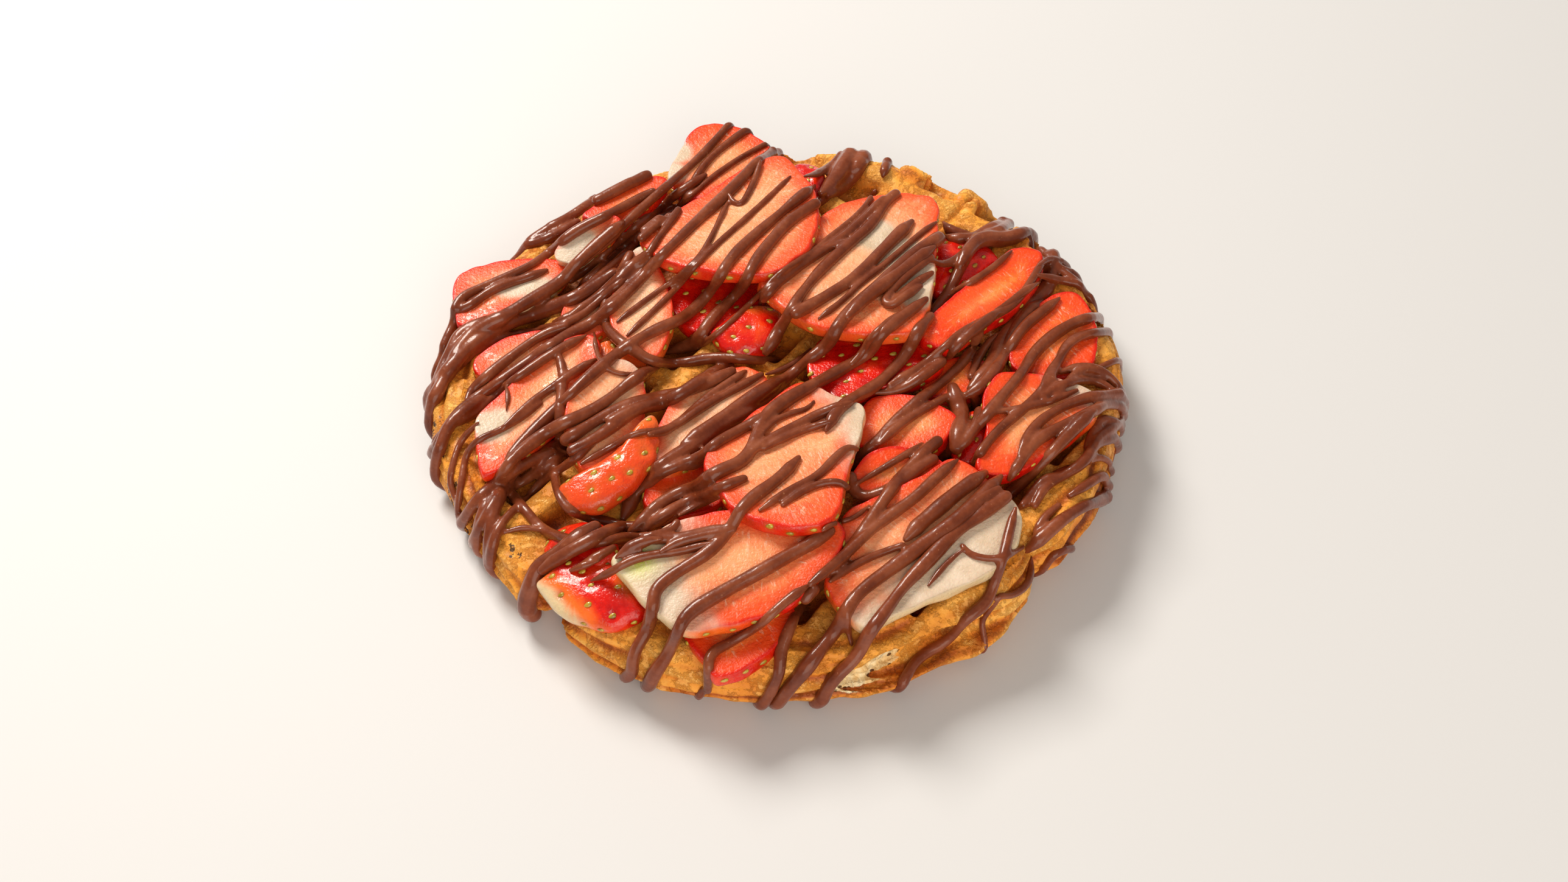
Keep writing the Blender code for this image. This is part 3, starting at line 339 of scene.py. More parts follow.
    (2.6, (73, 35), (76, 38), (78, 38), (81, 35), (84, 32), (87, 29), (90, 25), (93, 24)),
    (3.0, (75, 35), (73, 28), (70, 21), (66, 16), (65, 9), (60, 1), (57, -6), (54, -10)),
    (2.0, (92, 11), (87, 11), (81, 8), (76, 1), (72, -5), (70, -12), (72, -15), (74, -13), (77, -8),
     (80, -4), (84, -2), (88, -5)),
    (3.0, (91, -11), (84, -12), (79, -14), (74, -17), (70, -20), (66, -25), (63, -32)),
    (3.0, (92, -19), (89, -22), (83, -27), (82, -32)),
)
# How a slice looks: how ripe it is, which way its white shoulder lies in degrees, and how much
# of the slice that takes.
LOOKS = {
    "slice_back": (0.65, 150, 0.0),
    "slice_back_large": (0.5, 240, 0.0),
    "slice_back_right_large": (0.35, 8, 0.0),
    "slice_back_left": (0.45, 220, 0.0),
    "slice_back_left_rim": (0.9, 25, 0.0),
    "slice_back_left_scrap": (1.0, 25, 0.0),
    "slice_left_back": (0.7, 20, 0.0),
    "slice_left_long": (0.1, 80, 0.1),
    "slice_left_inner": (0.25, 60, 0.1),
    "slice_left_mid": (0.6, 20, 0.0),
    "slice_left_large": (0.55, 195, 0.0),
    "slice_left_pale": (0.1, 60, 0.05),
    "slice_left_round": (0.42, 125, 0.14),
    "slice_front_left_round": (0.9, 222, 0.11),
    "slice_front_left_under": (1.0, 215, 0.0),
    "slice_middle_long": (0.15, 225, 0.05),
    "slice_middle_large": (0.55, 12, 0.17),
    "slice_middle_round": (0.7, 90, 0.1),
    "slice_centre_back": (1.0, 20, 0.0),
    "slice_centre_round": (0.95, 10, 0.0),
    "slice_centre_right": (0.8, 20, 0.0),
    "slice_centre_front": (0.85, 180, 0.0),
    "slice_front_large": (0.62, 195, 0.3),
    "slice_front_right_large": (0.45, -48, 0.36),
    "slice_front_rim": (0.9, 35, 0.0),
    "slice_front_inner": (0.85, 10, 0.0),
    "slice_right_front": (0.75, 40, 0.12),
    "slice_right_rim": (0.9, 35, 0.0),
    "slice_right_back": (0.9, 42, 0.0),
    "slice_right_inner": (0.9, 50, 0.0),
    "slice_right_under": (1.0, 50, 0.0),
    "slice_right_scrap": (1.0, 70, 0.0),
    "slice_back_scrap": (1.0, 90, 0.0),
    "slice_left_scrap": (0.3, 120, 0.0),
}
# Pale spots of some slices, as stations of the reading level and their width
PALE_SPOTS = {
    "slice_back": ((-31, 84, 5), (-32, 76, 5)),
    "slice_back_left": ((-59, 38, 6), (-56, 43, 5)),
    "slice_back_right_large": ((27, 43, 8), (33, 35, 8), (37, 26, 8), (38, 18, 6)),
    "slice_left_back": ((-75, 32, 6), (-67, 29, 6), (-69, 22, 5)),
    "slice_left_large": ((-75, -21, 6),),
}
# The slices that lie with their skin up
SKIN_UP = ("slice_centre_back", "slice_centre_round", "slice_right_scrap", "slice_back_left_scrap",
           "slice_left_scrap")


def shade(red, green, blue):
    """A colour as it looks on screen, 0 to 255 a channel, made linear."""
    linear = []
    for part in (red, green, blue):
        part /= 255
        linear.append(part / 12.92 if part <= 0.04045 else ((part + 0.055) / 1.055) ** 2.4)
    return (*linear, 1)


class Value:
    """A shader socket that takes part in sums."""

    def __init__(self, finish, socket):
        self.finish = finish
        self.socket = socket

    def worked(self, operation, *terms):
        return self.finish.node("ShaderNodeMath", {"operation": operation}, dict(enumerate(terms)))

    def __add__(self, other):
        return self.worked("ADD", self, other)

    def __sub__(self, other):
        return self.worked("SUBTRACT", self, other)

    def __rsub__(self, other):
        return self.worked("SUBTRACT", other, self)

    def __mul__(self, other):
        return self.worked("MULTIPLY", self, other)

    __radd__ = __add__
    __rmul__ = __mul__

    def clamped(self):
        return self.worked("MINIMUM", self.worked("MAXIMUM", self, 0), 1)


class Finish:
    """A material on a Principled shader, and the patterns it is made of."""

    def __init__(self, name, **steady):
        self.material = bpy.data.materials.new(name)
        self.material.use_nodes = True
        self.tree = self.material.node_tree
        self.shader = self.tree.nodes["Principled BSDF"]
        for socket, value in steady.items():
            self.shader.inputs[socket.replace("_", " ")].default_value = value

    def node(self, kind, settings, values, output=0):
        """Any node: its settings first, then the values or links of its sockets."""
        node = self.tree.nodes.new(kind)
        for key, value in settings.items():
            if key == "stops":
                ramp = node.color_ramp.elements
                while len(ramp) < len(value):
                    ramp.new(1)
                for stop, (place, colour) in zip(ramp, value):
                    stop.position = place
                    stop.color = colour
            else:
                setattr(node, key, value)
        for key, value in values.items():
            self.give(node.inputs[key], value)
        return Value(self, node.outputs[output])

    def give(self, socket, value):
        if isinstance(value, Value):
            self.tree.links.new(value.socket, socket)
        else:
            socket.default_value = value

    def place(self):
        return self.node("ShaderNodeTexCoord", {}, {}, "Object")

    def noted(self, name, output="Fac"):
        return self.node("ShaderNodeAttribute", {"attribute_name": name}, {}, output)

    def stretched(self, where, x, y, z):
        values = {0: where, 1: (x, y, z)}
        return self.node("ShaderNodeVectorMath", {"operation": "MULTIPLY"}, values)

    def clouds(self, where, size, detail=3, rough=0.55):
        """Noise whose features are about the given size in metres."""
        values = {"Vector": where, "Scale": 1 / size, "Detail": detail, "Roughness": rough}
        return self.node("ShaderNodeTexNoise", {}, values)

    def cells(self, where, size):
        return self.node("ShaderNodeTexVoronoi", {"feature": "F1"},
                         {"Vector": where, "Scale": 1 / size}, "Distance")

    def between(self, value, low, high):
        """0 below the low mark, 1 above the high one, eased between."""
        values = {"Value": value, "From Min": low, "From Max": high}
        return self.node("ShaderNodeMapRange", {"interpolation_type": "SMOOTHSTEP"}, values)

    def ramp(self, value, *stops):
        return self.node("ShaderNodeValToRGB", {"stops": stops}, {"Fac": value})

    def mixed(self, one, other, share):
        return self.node("ShaderNodeMix", {"data_type": "RGBA"}, {0: share, 6: one, 7: other}, 2)

    def bumped(self, height, distance):
        return self.node("ShaderNodeBump", {}, {"Height": height, "Distance": distance})

    def done(self, **varying):
        for socket, value in varying.items():
            self.give(self.shader.inputs[socket.replace("_", " ")], value)
        return self.material


def strawberry_finish():
    """Wet flesh, salmon to orange-red by how ripe it is, streaked out from its core to a red rim,
    under a glossy red skin."""
    berry = Finish("strawberry_flesh_and_skin", Coat_Roughness=0.06, IOR=1.36,
                   Subsurface_Weight=0.14, Subsurface_Scale=0.0016)
    berry.shader.inputs["Subsurface Radius"].default_value = (1.0, 0.3, 0.15)
    where = berry.place()
    fibre = berry.noted("fibre", "Vector")
    streaks = berry.clouds(berry.stretched(fibre, 1, 1, 0.3), 1.7 * MM, 2, 0.6)
    fine = berry.clouds(berry.stretched(fibre, 1, 1, 0.45), 0.8 * MM, 3, 0.6)
    patches = berry.clouds(where, 12 * MM, 3, 0.55)
    pulp = berry.clouds(where, 3.2 * MM, 3, 0.6)
    ripe = berry.noted("ripe")
    rim = berry.noted("rim")
    depth = berry.noted("depth")
    speckle = berry.clouds(where, 1.1 * MM, 3, 0.7)
    tone = depth * (0.34 + ripe * 0.6) + (patches - 0.5) * 0.8 + (speckle - 0.5) * 0.7
    tone = tone + (streaks - 0.5) * 0.16
    under_ripe = berry.ramp(tone,
                            (0.0, shade(252, 200, 160)), (0.3, shade(250, 170, 120)),
                            (0.6, shade(246, 126, 70)), (0.95, shade(234, 76, 28)))
    full_ripe = berry.ramp(tone,
                           (0.0, shade(254, 140, 60)), (0.3, shade(250, 104, 32)),
                           (0.6, shade(240, 66, 14)), (0.95, shade(216, 32, 6)))
    flesh = berry.mixed(under_ripe, full_ripe, (ripe + (patches - 0.5) * 0.3).clamped())
    threads = berry.between(fine, 0.52, 0.68) * berry.between(speckle, 0.42, 0.56)
    flesh = berry.mixed(flesh, shade(255, 216, 182), threads * 0.55)
    blush = rim + (streaks - 0.5) * 2.4 + (patches - 0.5) * 10 - ripe * 3
    blush = berry.between(blush, 4.6, 0.4)
    flesh = berry.mixed(flesh, shade(240, 74, 22), blush * 0.75)
    edge = berry.between(rim + (streaks - 0.5) * 1.0 - ripe * 0.4, 1.3, 0.2)
    flesh = berry.mixed(flesh, shade(214, 22, 6), edge * 0.9)
    pale = berry.noted("pale") + (streaks - 0.5) * 0.2 + (patches - 0.5) * 0.7
    white = berry.between(pale, 0.3, 0.85)
    flesh = berry.mixed(flesh, berry.ramp(patches + (fine - 0.5) * 0.2, (0.3, shade(204, 182, 152)),
                                           (0.5, shade(216, 198, 172)), (0.7, shade(230, 216, 194))),
                        white * 0.94)
    pits = berry.noted("pit")
    skin_tone = patches + (pulp - 0.5) * 0.5 + (fine - 0.5) * 0.2
    skin_colour = berry.ramp(skin_tone,
                             (0.3, shade(186, 8, 6)), (0.5, shade(222, 22, 8)),
                             (0.75, shade(240, 66, 20)))
    # Painted shade: the skin is kept deeper red in the seed pits
    orange = berry.between(ripe + (patches - 0.5) * 0.5 - pits * 0.3, 0.6, 0.2)
    skin_colour = berry.mixed(skin_colour, shade(248, 116, 44), orange * 0.85)
    skin_colour = berry.mixed(skin_colour, shade(246, 112, 36), berry.between(pale, 0.0, 0.6))
    skin_colour = berry.mixed(skin_colour, shade(222, 196, 152), berry.between(pale, 0.55, 0.95))
    skin = berry.noted("skin")
    colour = berry.mixed(flesh, skin_colour, skin)
    # Painted shade: the skin is darkened in the seed pits
    colour = berry.mixed(colour, shade(150, 8, 4), pits * skin * 0.45)
    unripe = berry.noted("green")
    colour = berry.mixed(colour, shade(200, 208, 84), unripe * berry.between(speckle, 0.25, 0.45))
    grain = berry.clouds(where, 0.8 * MM, 3, 0.6)
    height = fine * 0.2 + grain * 0.5 + pulp * 0.5 + skin * pulp * 1.9
    return berry.done(Base_Color=colour,
                      Roughness=0.34 - skin * 0.1 + (grain - 0.5) * 0.2,
                      Coat_Weight=skin * 0.35 + berry.between(speckle, 0.5, 0.6) * 0.45,
                      Normal=berry.bumped(height * (1 - skin * 0.5), 0.4 * MM))


def seed_finish():
    """Small olive-gold seeds, browner here and there."""
    seed = Finish("strawberry_seeds", Roughness=0.3, Coat_Weight=0.5)
    tint = seed.clouds(seed.place(), 2 * MM, 2)
    colour = seed.ramp(tint, (0.3, shade(120, 92, 20)), (0.5, shade(182, 150, 40)),
                       (0.7, shade(216, 190, 74)))
    return seed.done(Base_Color=colour)


def crust_finish():
    """Baked batter: golden, lighter where it swells and brown in pockets and creases as painted light
    and shade, flaky on the rim, torn to cream along the front."""
    crust = Finish("waffle_crust", IOR=1.34, Coat_Roughness=0.3)
    where = crust.place()
    broad = crust.clouds(where, 18 * MM, 3, 0.6)
    blotch = crust.clouds(where, 6 * MM, 4, 0.65)
    grain = crust.clouds(where, 1.4 * MM, 4, 0.65)
    pores = crust.cells(where, 1.7 * MM)
    bake = crust.noted("bake")
    crease = crust.noted("crease")
    # Painted shade and light from the two notes: darker pockets, hollows, folds and seam, lighter
    # swells
    heat_and_shade = bake * 0.74 + crease * 0.45 + (broad - 0.5) * 0.55 + (blotch - 0.5) * 0.32
    heat_and_shade = heat_and_shade + (grain - 0.5) * 0.16 + 0.1
    colour = crust.ramp(heat_and_shade,
                        (0.0, shade(252, 192, 94)), (0.22, shade(244, 162, 58)),
                        (0.45, shade(222, 130, 38)), (0.66, shade(178, 88, 20)),
                        (0.86, shade(124, 54, 12)), (1.0, shade(74, 28, 8)))
    flaky = crust.clouds(where, 4.5 * MM, 6, 0.72)
    flakes = crust.between(flaky, 0.54, 0.6) * crust.between(heat_and_shade, 0.7, 0.35)
    colour = crust.mixed(colour, shade(248, 190, 104), flakes * 0.5)
    cracks = crust.between(flaky, 0.48, 0.51) * crust.between(flaky, 0.54, 0.51)
    colour = crust.mixed(colour, shade(150, 76, 20), cracks * 0.28)
    crumb = crust.noted("crumb")
    # Painted shade: the holes in the torn crumb are coloured brown
    holes = crust.between(crust.cells(where, 1.9 * MM), 0.36, 0.22)
    holes = holes * crust.between(crumb + (blotch - 0.5) * 1.2, 0.95, 0.6)
    tender = crust.ramp(blotch + (grain - 0.5) * 0.5,
                        (0.3, shade(224, 174, 104)), (0.48, shade(250, 216, 156)),
                        (0.7, shade(255, 238, 196)))
    tender = crust.mixed(tender, shade(110, 56, 22), holes)
    opened = crust.between(crumb + (blotch - 0.5) * 0.5 + (grain - 0.5) * 0.25, 0.4, 0.5)
    colour = crust.mixed(colour, tender, opened)
    char = crust.noted("char")
    specks = crust.clouds(where, 2.2 * MM, 3, 0.7)
    burnt = crust.between(char * 0.22 + specks, 0.7, 0.75) * crust.between(char, 0.15, 0.4)
    colour = crust.mixed(colour, shade(36, 22, 18), burnt * 0.9)
    height = grain * 0.5 + blotch * 0.8 + flakes * 0.3 - crust.between(pores, 0.3, 0.1) * 0.3
    height = height - cracks * 0.15
    height = height - holes * opened * 1.6
    return crust.done(Base_Color=colour,
                      Roughness=0.52 - bake * 0.14 + (grain - 0.5) * 0.3,
                      Coat_Weight=crust.between(blotch, 0.5, 0.64) * 0.2,
                      Normal=crust.bumped(height, 0.6 * MM))


def chocolate_finish():
    """Smooth poured milk chocolate with a sharp gloss, and faint pale specks painted on as glints."""
    sauce = Finish("chocolate_sauce", Coat_Roughness=0.07, Coat_IOR=1.35, IOR=1.33,
                   Subsurface_Weight=0.06, Subsurface_Scale=0.0015)
    sauce.shader.inputs["Subsurface Radius"].default_value = (1.0, 0.4, 0.2)
    where = sauce.place()
    swirl = sauce.clouds(where, 9 * MM, 3, 0.6)
    specks = sauce.clouds(where, 0.9 * MM, 2, 0.5)
    colour = sauce.ramp(swirl + (specks - 0.5) * 0.2,
                        (0.3, shade(102, 42, 18)), (0.5, shade(122, 56, 28)),
                        (0.7, shade(142, 74, 44)))
    # Painted highlight: faint pale specks stand for tiny glints on the chocolate
    colour = sauce.mixed(colour, shade(206, 150, 110), sauce.between(specks, 0.71, 0.78) * 0.4)
    ripple = sauce.clouds(where, 2.4 * MM, 2, 0.5)
    return sauce.done(Base_Color=colour,
                      Roughness=0.34 + (swirl - 0.5) * 0.14,
                      Coat_Weight=0.6 + (ripple - 0.5) * 0.6,
                      Normal=sauce.bumped(ripple, 0.2 * MM))


def only(piece):
    """Selects one piece and nothing else."""
    bpy.ops.object.select_all(action="DESELECT")
    piece.select_set(True)
    bpy.context.view_layer.objects.active = piece
    return piece


def named(name):
    """Names the piece that was just added, and its mesh."""
    piece = bpy.context.object
    piece.name = name
    piece.data.name = name
    return piece


def applied(piece, kind, **settings):
    """Gives a piece a modifier with these settings, and applies it."""
    only(piece)
    change = piece.modifiers.new(kind.lower(), kind)
    for key, value in settings.items():
        setattr(change, key, value)
    bpy.ops.object.modifier_apply(modifier=change.name)


def corners_of(piece):
    """A piece's corners as rows of three numbers."""
    spots = np.empty(3 * len(piece.data.vertices), np.float32)
    piece.data.vertices.foreach_get("co", spots)
    return spots.reshape(-1, 3).astype(float)


def normals_of(piece):
    """The normals at a piece's corners as rows of three numbers."""
    normals = np.empty(3 * len(piece.data.vertices), np.float32)
    piece.data.vertices.foreach_get("normal", normals)
    return normals.reshape(-1, 3).astype(float)


def moved_to(piece, spots):
    """Puts a piece's corners where the rows say."""
    piece.data.vertices.foreach_set("co", np.asarray(spots, np.float32).ravel())
    piece.data.update()


def noted_on(piece, name, values):
    """Keeps a number, or a row of three, at each corner for the finish to read."""
    values = np.asarray(values, np.float32)
    kind, key = ("FLOAT_VECTOR", "vector") if values.ndim > 1 else ("FLOAT", "value")
    note = piece.data.attributes.new(name, kind, "POINT")
    note.data.foreach_set(key, values.ravel())


def uneven(spots, size, seed):
    """Smooth noise of about -1 to 1 at each spot, with lumps of the given size in metres."""
    shift = Vector((seed * 7.31, seed * 3.17, seed * 5.77))
    return np.array([noise.noise(Vector(spot) / size + shift) for spot in spots]) * 1.6


def eased_step(values, low, high):
    """0 at the low mark, 1 at the high one, eased between."""
    share = np.clip((np.asarray(values) - low) / (high - low), 0, 1)
    return share * share * (3 - 2 * share)


def ball(name, around, rings):
    """A ball to be reshaped: the piece, and each corner's step round it and ring down it."""
    bpy.ops.object.select_all(action="DESELECT")
    bpy.ops.mesh.primitive_uv_sphere_add(segments=around, ring_count=rings, radius=1)
    piece = named(name)
    spots = corners_of(piece)
    turn = np.arctan2(spots[:, 1], spots[:, 0]) / (2 * math.pi)
    step = np.rint(turn * around).astype(int) % around
    ring = np.rint(np.arccos(np.clip(spots[:, 2], -1, 1)) / math.pi * rings).astype(int)
    return piece, step, ring


def softened(piece, cell, passes):
    """Melts a piece into one skin of small squares, and smooths it."""
    applied(piece, "REMESH", mode="VOXEL", voxel_size=cell)
    applied(piece, "SMOOTH", factor=0.5, iterations=passes)


def thinned(piece, most):
    """Brings a piece down to so many triangles."""
    triangles = sum(len(face.vertices) - 2 for face in piece.data.polygons)
    applied(piece, "DECIMATE", ratio=min(1.0, most / triangles))


def dressed(piece, finish, smooth=40):
    """Gives a piece its finish and soft shading."""
    piece.data.materials.clear()
    piece.data.materials.append(finish)
    only(piece)
    bpy.ops.object.shade_smooth_by_angle(angle=math.radians(smooth))


def pointing(degrees):
    """The level direction of a heading."""
    turn = math.radians(degrees)
    return Vector((math.cos(turn), math.sin(turn), 0))


def nearest(spots, others):
    """How far each flat spot is from the nearest of the others."""
    return np.min(np.hypot(spots[:, None, 0] - others[None, :, 0],
                           spots[:, None, 1] - others[None, :, 1]), 1)


def evened(run, passes):
    """Evens out a run of values or rows where it lies, but for its two ends."""
    for _ in range(passes):
        run[1:-1] = 0.25 * run[:-2] + 0.5 * run[1:-1] + 0.25 * run[2:]


def puff(x):
    """How high the waffle has risen at x, as a share of its nominal thickness."""
    return 0.92 + 0.17 * x / RADIUS


def side_radius(angle, level):
    """Radius of the waffle's side: uneven, notched at the dividers, open at the crumb band."""
    waves, notch_depth, notch_half = 13, 5.5 * MM, math.radians(4.5)
    reach = RADIUS + 0.6 * MM * math.sin(waves * angle + 1.1)
    for middle, span, swell in SWELLS:
        away = math.remainder(angle - math.radians(middle), 2 * math.pi) / math.radians(span)
        reach += swell * MM * math.exp(-away * away)
    for notch in NOTCHES:
        away = abs(math.remainder(angle - notch, 2 * math.pi))
        reach -= notch_depth * max(0.0, 1 - away / notch_half)
    inside = min(angle - CRUMB_SPAN[0], CRUMB_SPAN[1] - angle) / math.radians(8)
    if inside > 0:
        gape = min(1.0, inside) * MM
        reach += {1: 2.5, 2: 3.0, 3: -3.5, 4: -3.5, 5: 1.0}.get(level, 0.0) * gape
    return reach


def side_row(level, around):
    """One level of the waffle's side as rows of three numbers."""
    inset, height = SIDE[level]
    row = []
    for k in range(around):
        angle = math.remainder(2 * math.pi * k / around, 2 * math.pi)
        reach = side_radius(angle, level) - inset * MM
        x, y = reach * math.cos(angle), reach * math.sin(angle)
        row.append((x, y, height * MM * puff(x)))
    return np.array(row)


def waffle_disc(around=240, face_rings=14, side_steps=4):
    """The waffle before its pockets are pressed in."""
    levels = [side_row(level, around) for level in range(len(SIDE))]
    rows = [levels[-1] * (k / face_rings, k / face_rings, 1) for k in range(face_rings)]
    for upper, lower in zip(reversed(levels[1:]), reversed(levels[:-1])):
        rows += [upper + (lower - upper) * (k / side_steps) for k in range(side_steps)]
    rows += [levels[0] * (1 - k / face_rings, 1 - k / face_rings, 1) for k in range(face_rings + 1)]
    for row in rows[:face_rings]:
        row[:, 2] = THICKNESS * puff(row[:, 0])
    piece, step, ring = ball("waffle_baked", around, len(rows) - 1)
    moved_to(piece, np.array(rows)[ring, step])
    return piece


def block(place):
    """A cube whose corners, each a trio of -1 or 1, are put where the function says."""
    bpy.ops.object.select_all(action="DESELECT")
    bpy.ops.mesh.primitive_cube_add(size=2)
    piece = named("cutter")
    for vert in piece.data.vertices:
        vert.co = place(*vert.co)
    return piece


def pocket(u, v, face, limit):
    """A tapered pocket of one face of the waffle, drawn in to the limit radius."""
    mouth = THICKNESS + 1 * MM if face > 0 else -1 * MM
    floor = THICKNESS - POCKET_DEPTH if face > 0 else POCKET_DEPTH

    def place(across, along, up):
        at_mouth = up * face > 0
        half = POCKET_TOP / 2 + 0.3 * MM if at_mouth else POCKET_FLOOR / 2
        spot = Vector((u + across * half, v + along * half, 0))
        spot.rotate(Euler((0, 0, GRID_TURN)))
        edge = limit if at_mouth else limit - 1.2 * MM
        spot *= min(1.0, edge / max(spot.length, MM))
        return Vector((spot.x, spot.y, (mouth if at_mouth else floor) * puff(spot.x)))

    return block(place)


def groove(turn):
    """A shallow groove across the waffle's face, on the line between two quarters."""
    half_long, half_wide, half_floor = 99 * MM, 1.9 * MM, 0.3 * MM
    top, floor = 21.2 * MM, 18.2 * MM

    def place(along, across, up):
        spot = Vector((along * half_long, across * (half_wide if up > 0 else half_floor), 0))
        spot.rotate(Euler((0, 0, turn)))
        return Vector((spot.x, spot.y, (top if up > 0 else floor) * puff(spot.x)))

    return block(place)


def pressings():
    """What the iron pressed into the waffle: pockets on both faces, and the dividing grooves."""
    cutters = []
    count = int(RADIUS / PITCH) + 1
    steps = [(k + 0.5) * PITCH for k in range(-count, count)]
    inner, outer, rim_band, everywhere = 81 * MM, 96 * MM, 66 * MM, 200 * MM
    for u in steps:
        for v in steps:
            reach = math.hypot(u, v)
            angle = math.remainder(math.atan2(v, u) + GRID_TURN, 2 * math.pi)
            at_rim = OPEN_SPAN[0] < angle < OPEN_SPAN[1] and reach > rim_band
            for face in (1, -1):
                open_side = at_rim and face > 0
                if reach <= (outer if open_side else inner):
                    limit = everywhere if open_side else RADIUS - RIM
                    cutters.append(pocket(u, v, face, limit))
    return cutters + [groove(GRID_TURN), groove(GRID_TURN + math.pi / 2)]


def cut_away(piece, cutters):
    """Takes the cutters out of a piece."""
    group = bpy.data.collections.new("cutters")
    bpy.context.scene.collection.children.link(group)
    for cutter in cutters:
        bpy.context.scene.collection.objects.unlink(cutter)
        group.objects.link(cutter)
    applied(piece, "BOOLEAN", operand_type="COLLECTION", collection=group,
            operation="DIFFERENCE", solver="MANIFOLD")
    for cutter in cutters:
        bpy.data.objects.remove(cutter, do_unlink=True)
    bpy.data.collections.remove(group)


# Spots of the waffle, as stations of the reading level, and their width: burnt, baked pale, or
# puffed up between the pockets
BURNT = ((-88, -2, 3), (-90, -20, 3), (-88, -30, 3), (-84, -41, 4), (-80, -50, 3), (-64, -63, 3),
         (-70, -55, 2), (86, 16, 4), (66, -66, 3))
PALE = ((52, 59, 7), (31, 71, 5), (39, 72, 5), (24, 68, 4), (13, 78, 5), (90, 6, 7), (68, -66, 5))
PILLOWS = ((53, 59, 5.5), (31, 71, 4), (39, 72, 4), (24, 68, 3.5), (13, 78, 4), (46, 63, 3.5))


def spotted(spots, marks, level):
    """How far each corner near a level lies within any of the marks, from 0 to 1."""
    share = np.zeros(len(spots))
    for x, y, width in marks:
        station = Vector((x * MM, y * MM, SIGHT_LEVEL))
        middle = EYE + (station - EYE) * ((level - EYE.z) / (SIGHT_LEVEL - EYE.z))
        away = np.hypot(spots[:, 0] - middle.x, spots[:, 1] - middle.y) / (width * MM)
        share = np.maximum(share, np.exp(-away * away))
    return share


def folds(spots):
    """Wrinkles that run along the rim, from about -1 to 1."""
    reach = np.hypot(spots[:, 0], spots[:, 1])
    turn = np.arctan2(spots[:, 1], spots[:, 0]) * RADIUS
    down = spots[:, 2] - reach + 1.4 * MM * uneven(spots, 16 * MM, 6)
    along = np.stack([turn * 0.13, np.zeros(len(spots)), down], 1)
    return 1 - 2.3 * np.abs(uneven(along, 3.8 * MM, 4))


def seam(spots, height):
    """How near each corner is to the crease where the two halves of the iron met."""
    middle = 7.8 * MM + 0.8 * MM * uneven(spots, 20 * MM, 7)
    return np.exp(-((height - middle) / (0.7 * MM)) ** 2)


def torn(angle, height):
    """How far each corner lies inside the rip along the front, from 0 to 1."""
    along = (angle - math.radians(-71)) / math.radians(12)
    middle = 12 * MM + 3 * MM * along
    across = (height - middle) / (MM * (4.0 - 1.3 * np.clip(along, -1, 1)))
    return np.clip(1.7 * (1 - np.abs(along) ** 2.5 - across * across), 0, 1)


def swelling(spots):
    """How far the baked batter stands out of its even form, before its folds."""
    relief = 0.55 * MM * uneven(spots, 15 * MM, 1) + 0.3 * MM * uneven(spots, 5.5 * MM, 2)
    return relief + 0.08 * MM * uneven(spots, 2.2 * MM, 3)


def near_rim(spots, inner, outer):
    """0 further inside the rim than the inner distance, 1 past the outer, in millimetres."""
    reach = np.hypot(spots[:, 0], spots[:, 1])
    return eased_step(reach, RADIUS - inner * MM, RADIUS - outer * MM)


def round_and_up(spots):
    """Each corner's heading, and its height as if the waffle had risen evenly."""
    return np.arctan2(spots[:, 1], spots[:, 0]), spots[:, 2] / puff(spots[:, 0])


def make_waffle():
    """The waffle: pressed, softened, and roughened like baked batter."""
    piece = waffle_disc()
    cut_away(piece, pressings())
    softened(piece, CRUST_CELL, 7)
    spots, normals = corners_of(piece), normals_of(piece)
    angle, height = round_and_up(spots)
    outside = near_rim(spots, 7, 3)
    relief = swelling(spots)
    relief += near_rim(spots, 12, 5) * 0.7 * MM * folds(spots)
    relief += 1.3 * MM * spotted(spots, PILLOWS, 0.9 * THICKNESS)
    relief -= outside * 0.7 * MM * seam(spots, height)
    lip = outside * eased_step(angle, -1.9, -1.7) * (1 - eased_step(angle, -0.95, -0.8))
    relief += lip * 0.9 * MM * np.exp(-((height - 5.2 * MM) / (1.6 * MM)) ** 2)
    ragged = 0.7 + 0.8 * np.clip(uneven(spots, 2.6 * MM, 5), 0, 1)
    relief -= outside * torn(angle, height) * ragged * MM
    above_foot = eased_step(spots[:, 2], 0.3 * MM, 2.5 * MM)
    moved_to(piece, spots + normals * (relief * above_foot)[:, None])
    thinned(piece, CRUST_TRIANGLES)
    finish_waffle(piece)
    return piece


def finish_waffle(piece):
    """Where the waffle is darker or paler, torn open or burnt, and its finish: baked pale in spots,
    darker towards the foot, painted shade in its pockets, creases and hollows, and painted light on
    its swells.
    """
    spots = corners_of(piece)
    angle, height = round_and_up(spots)
    outside = near_rim(spots, 7, 3)
    # Painted shade: the pocket floors away from the rim are darkened
    sunk = 1 - eased_step(height, THICKNESS - POCKET_DEPTH, THICKNESS - 1.5 * MM)
    sunk *= 1 - near_rim(spots, 9, 5)
    under = 1 - eased_step(height, 1 * MM, 6 * MM)
    pale = spotted(spots, PALE, 0.9 * THICKNESS)
    # Painted shade in the pockets and hollows, painted light on the swells; darker toward the foot
    bake = 0.26 + 0.45 * sunk + 0.25 * under - 0.5 * pale - 0.35 * swelling(spots) / MM
    # Painted shade: the valleys of the folds and the seam crease are darkened
    creased = near_rim(spots, 12, 5) * np.clip(-folds(spots), 0, 1)
    noted_on(piece, "bake", np.clip(bake, 0, 1))
    noted_on(piece, "crease", np.maximum(creased, outside * seam(spots, height)))
    noted_on(piece, "crumb", outside * torn(angle, height))
    noted_on(piece, "char", spotted(spots, BURNT, 0.9 * THICKNESS))
    dressed(piece, crust_finish())


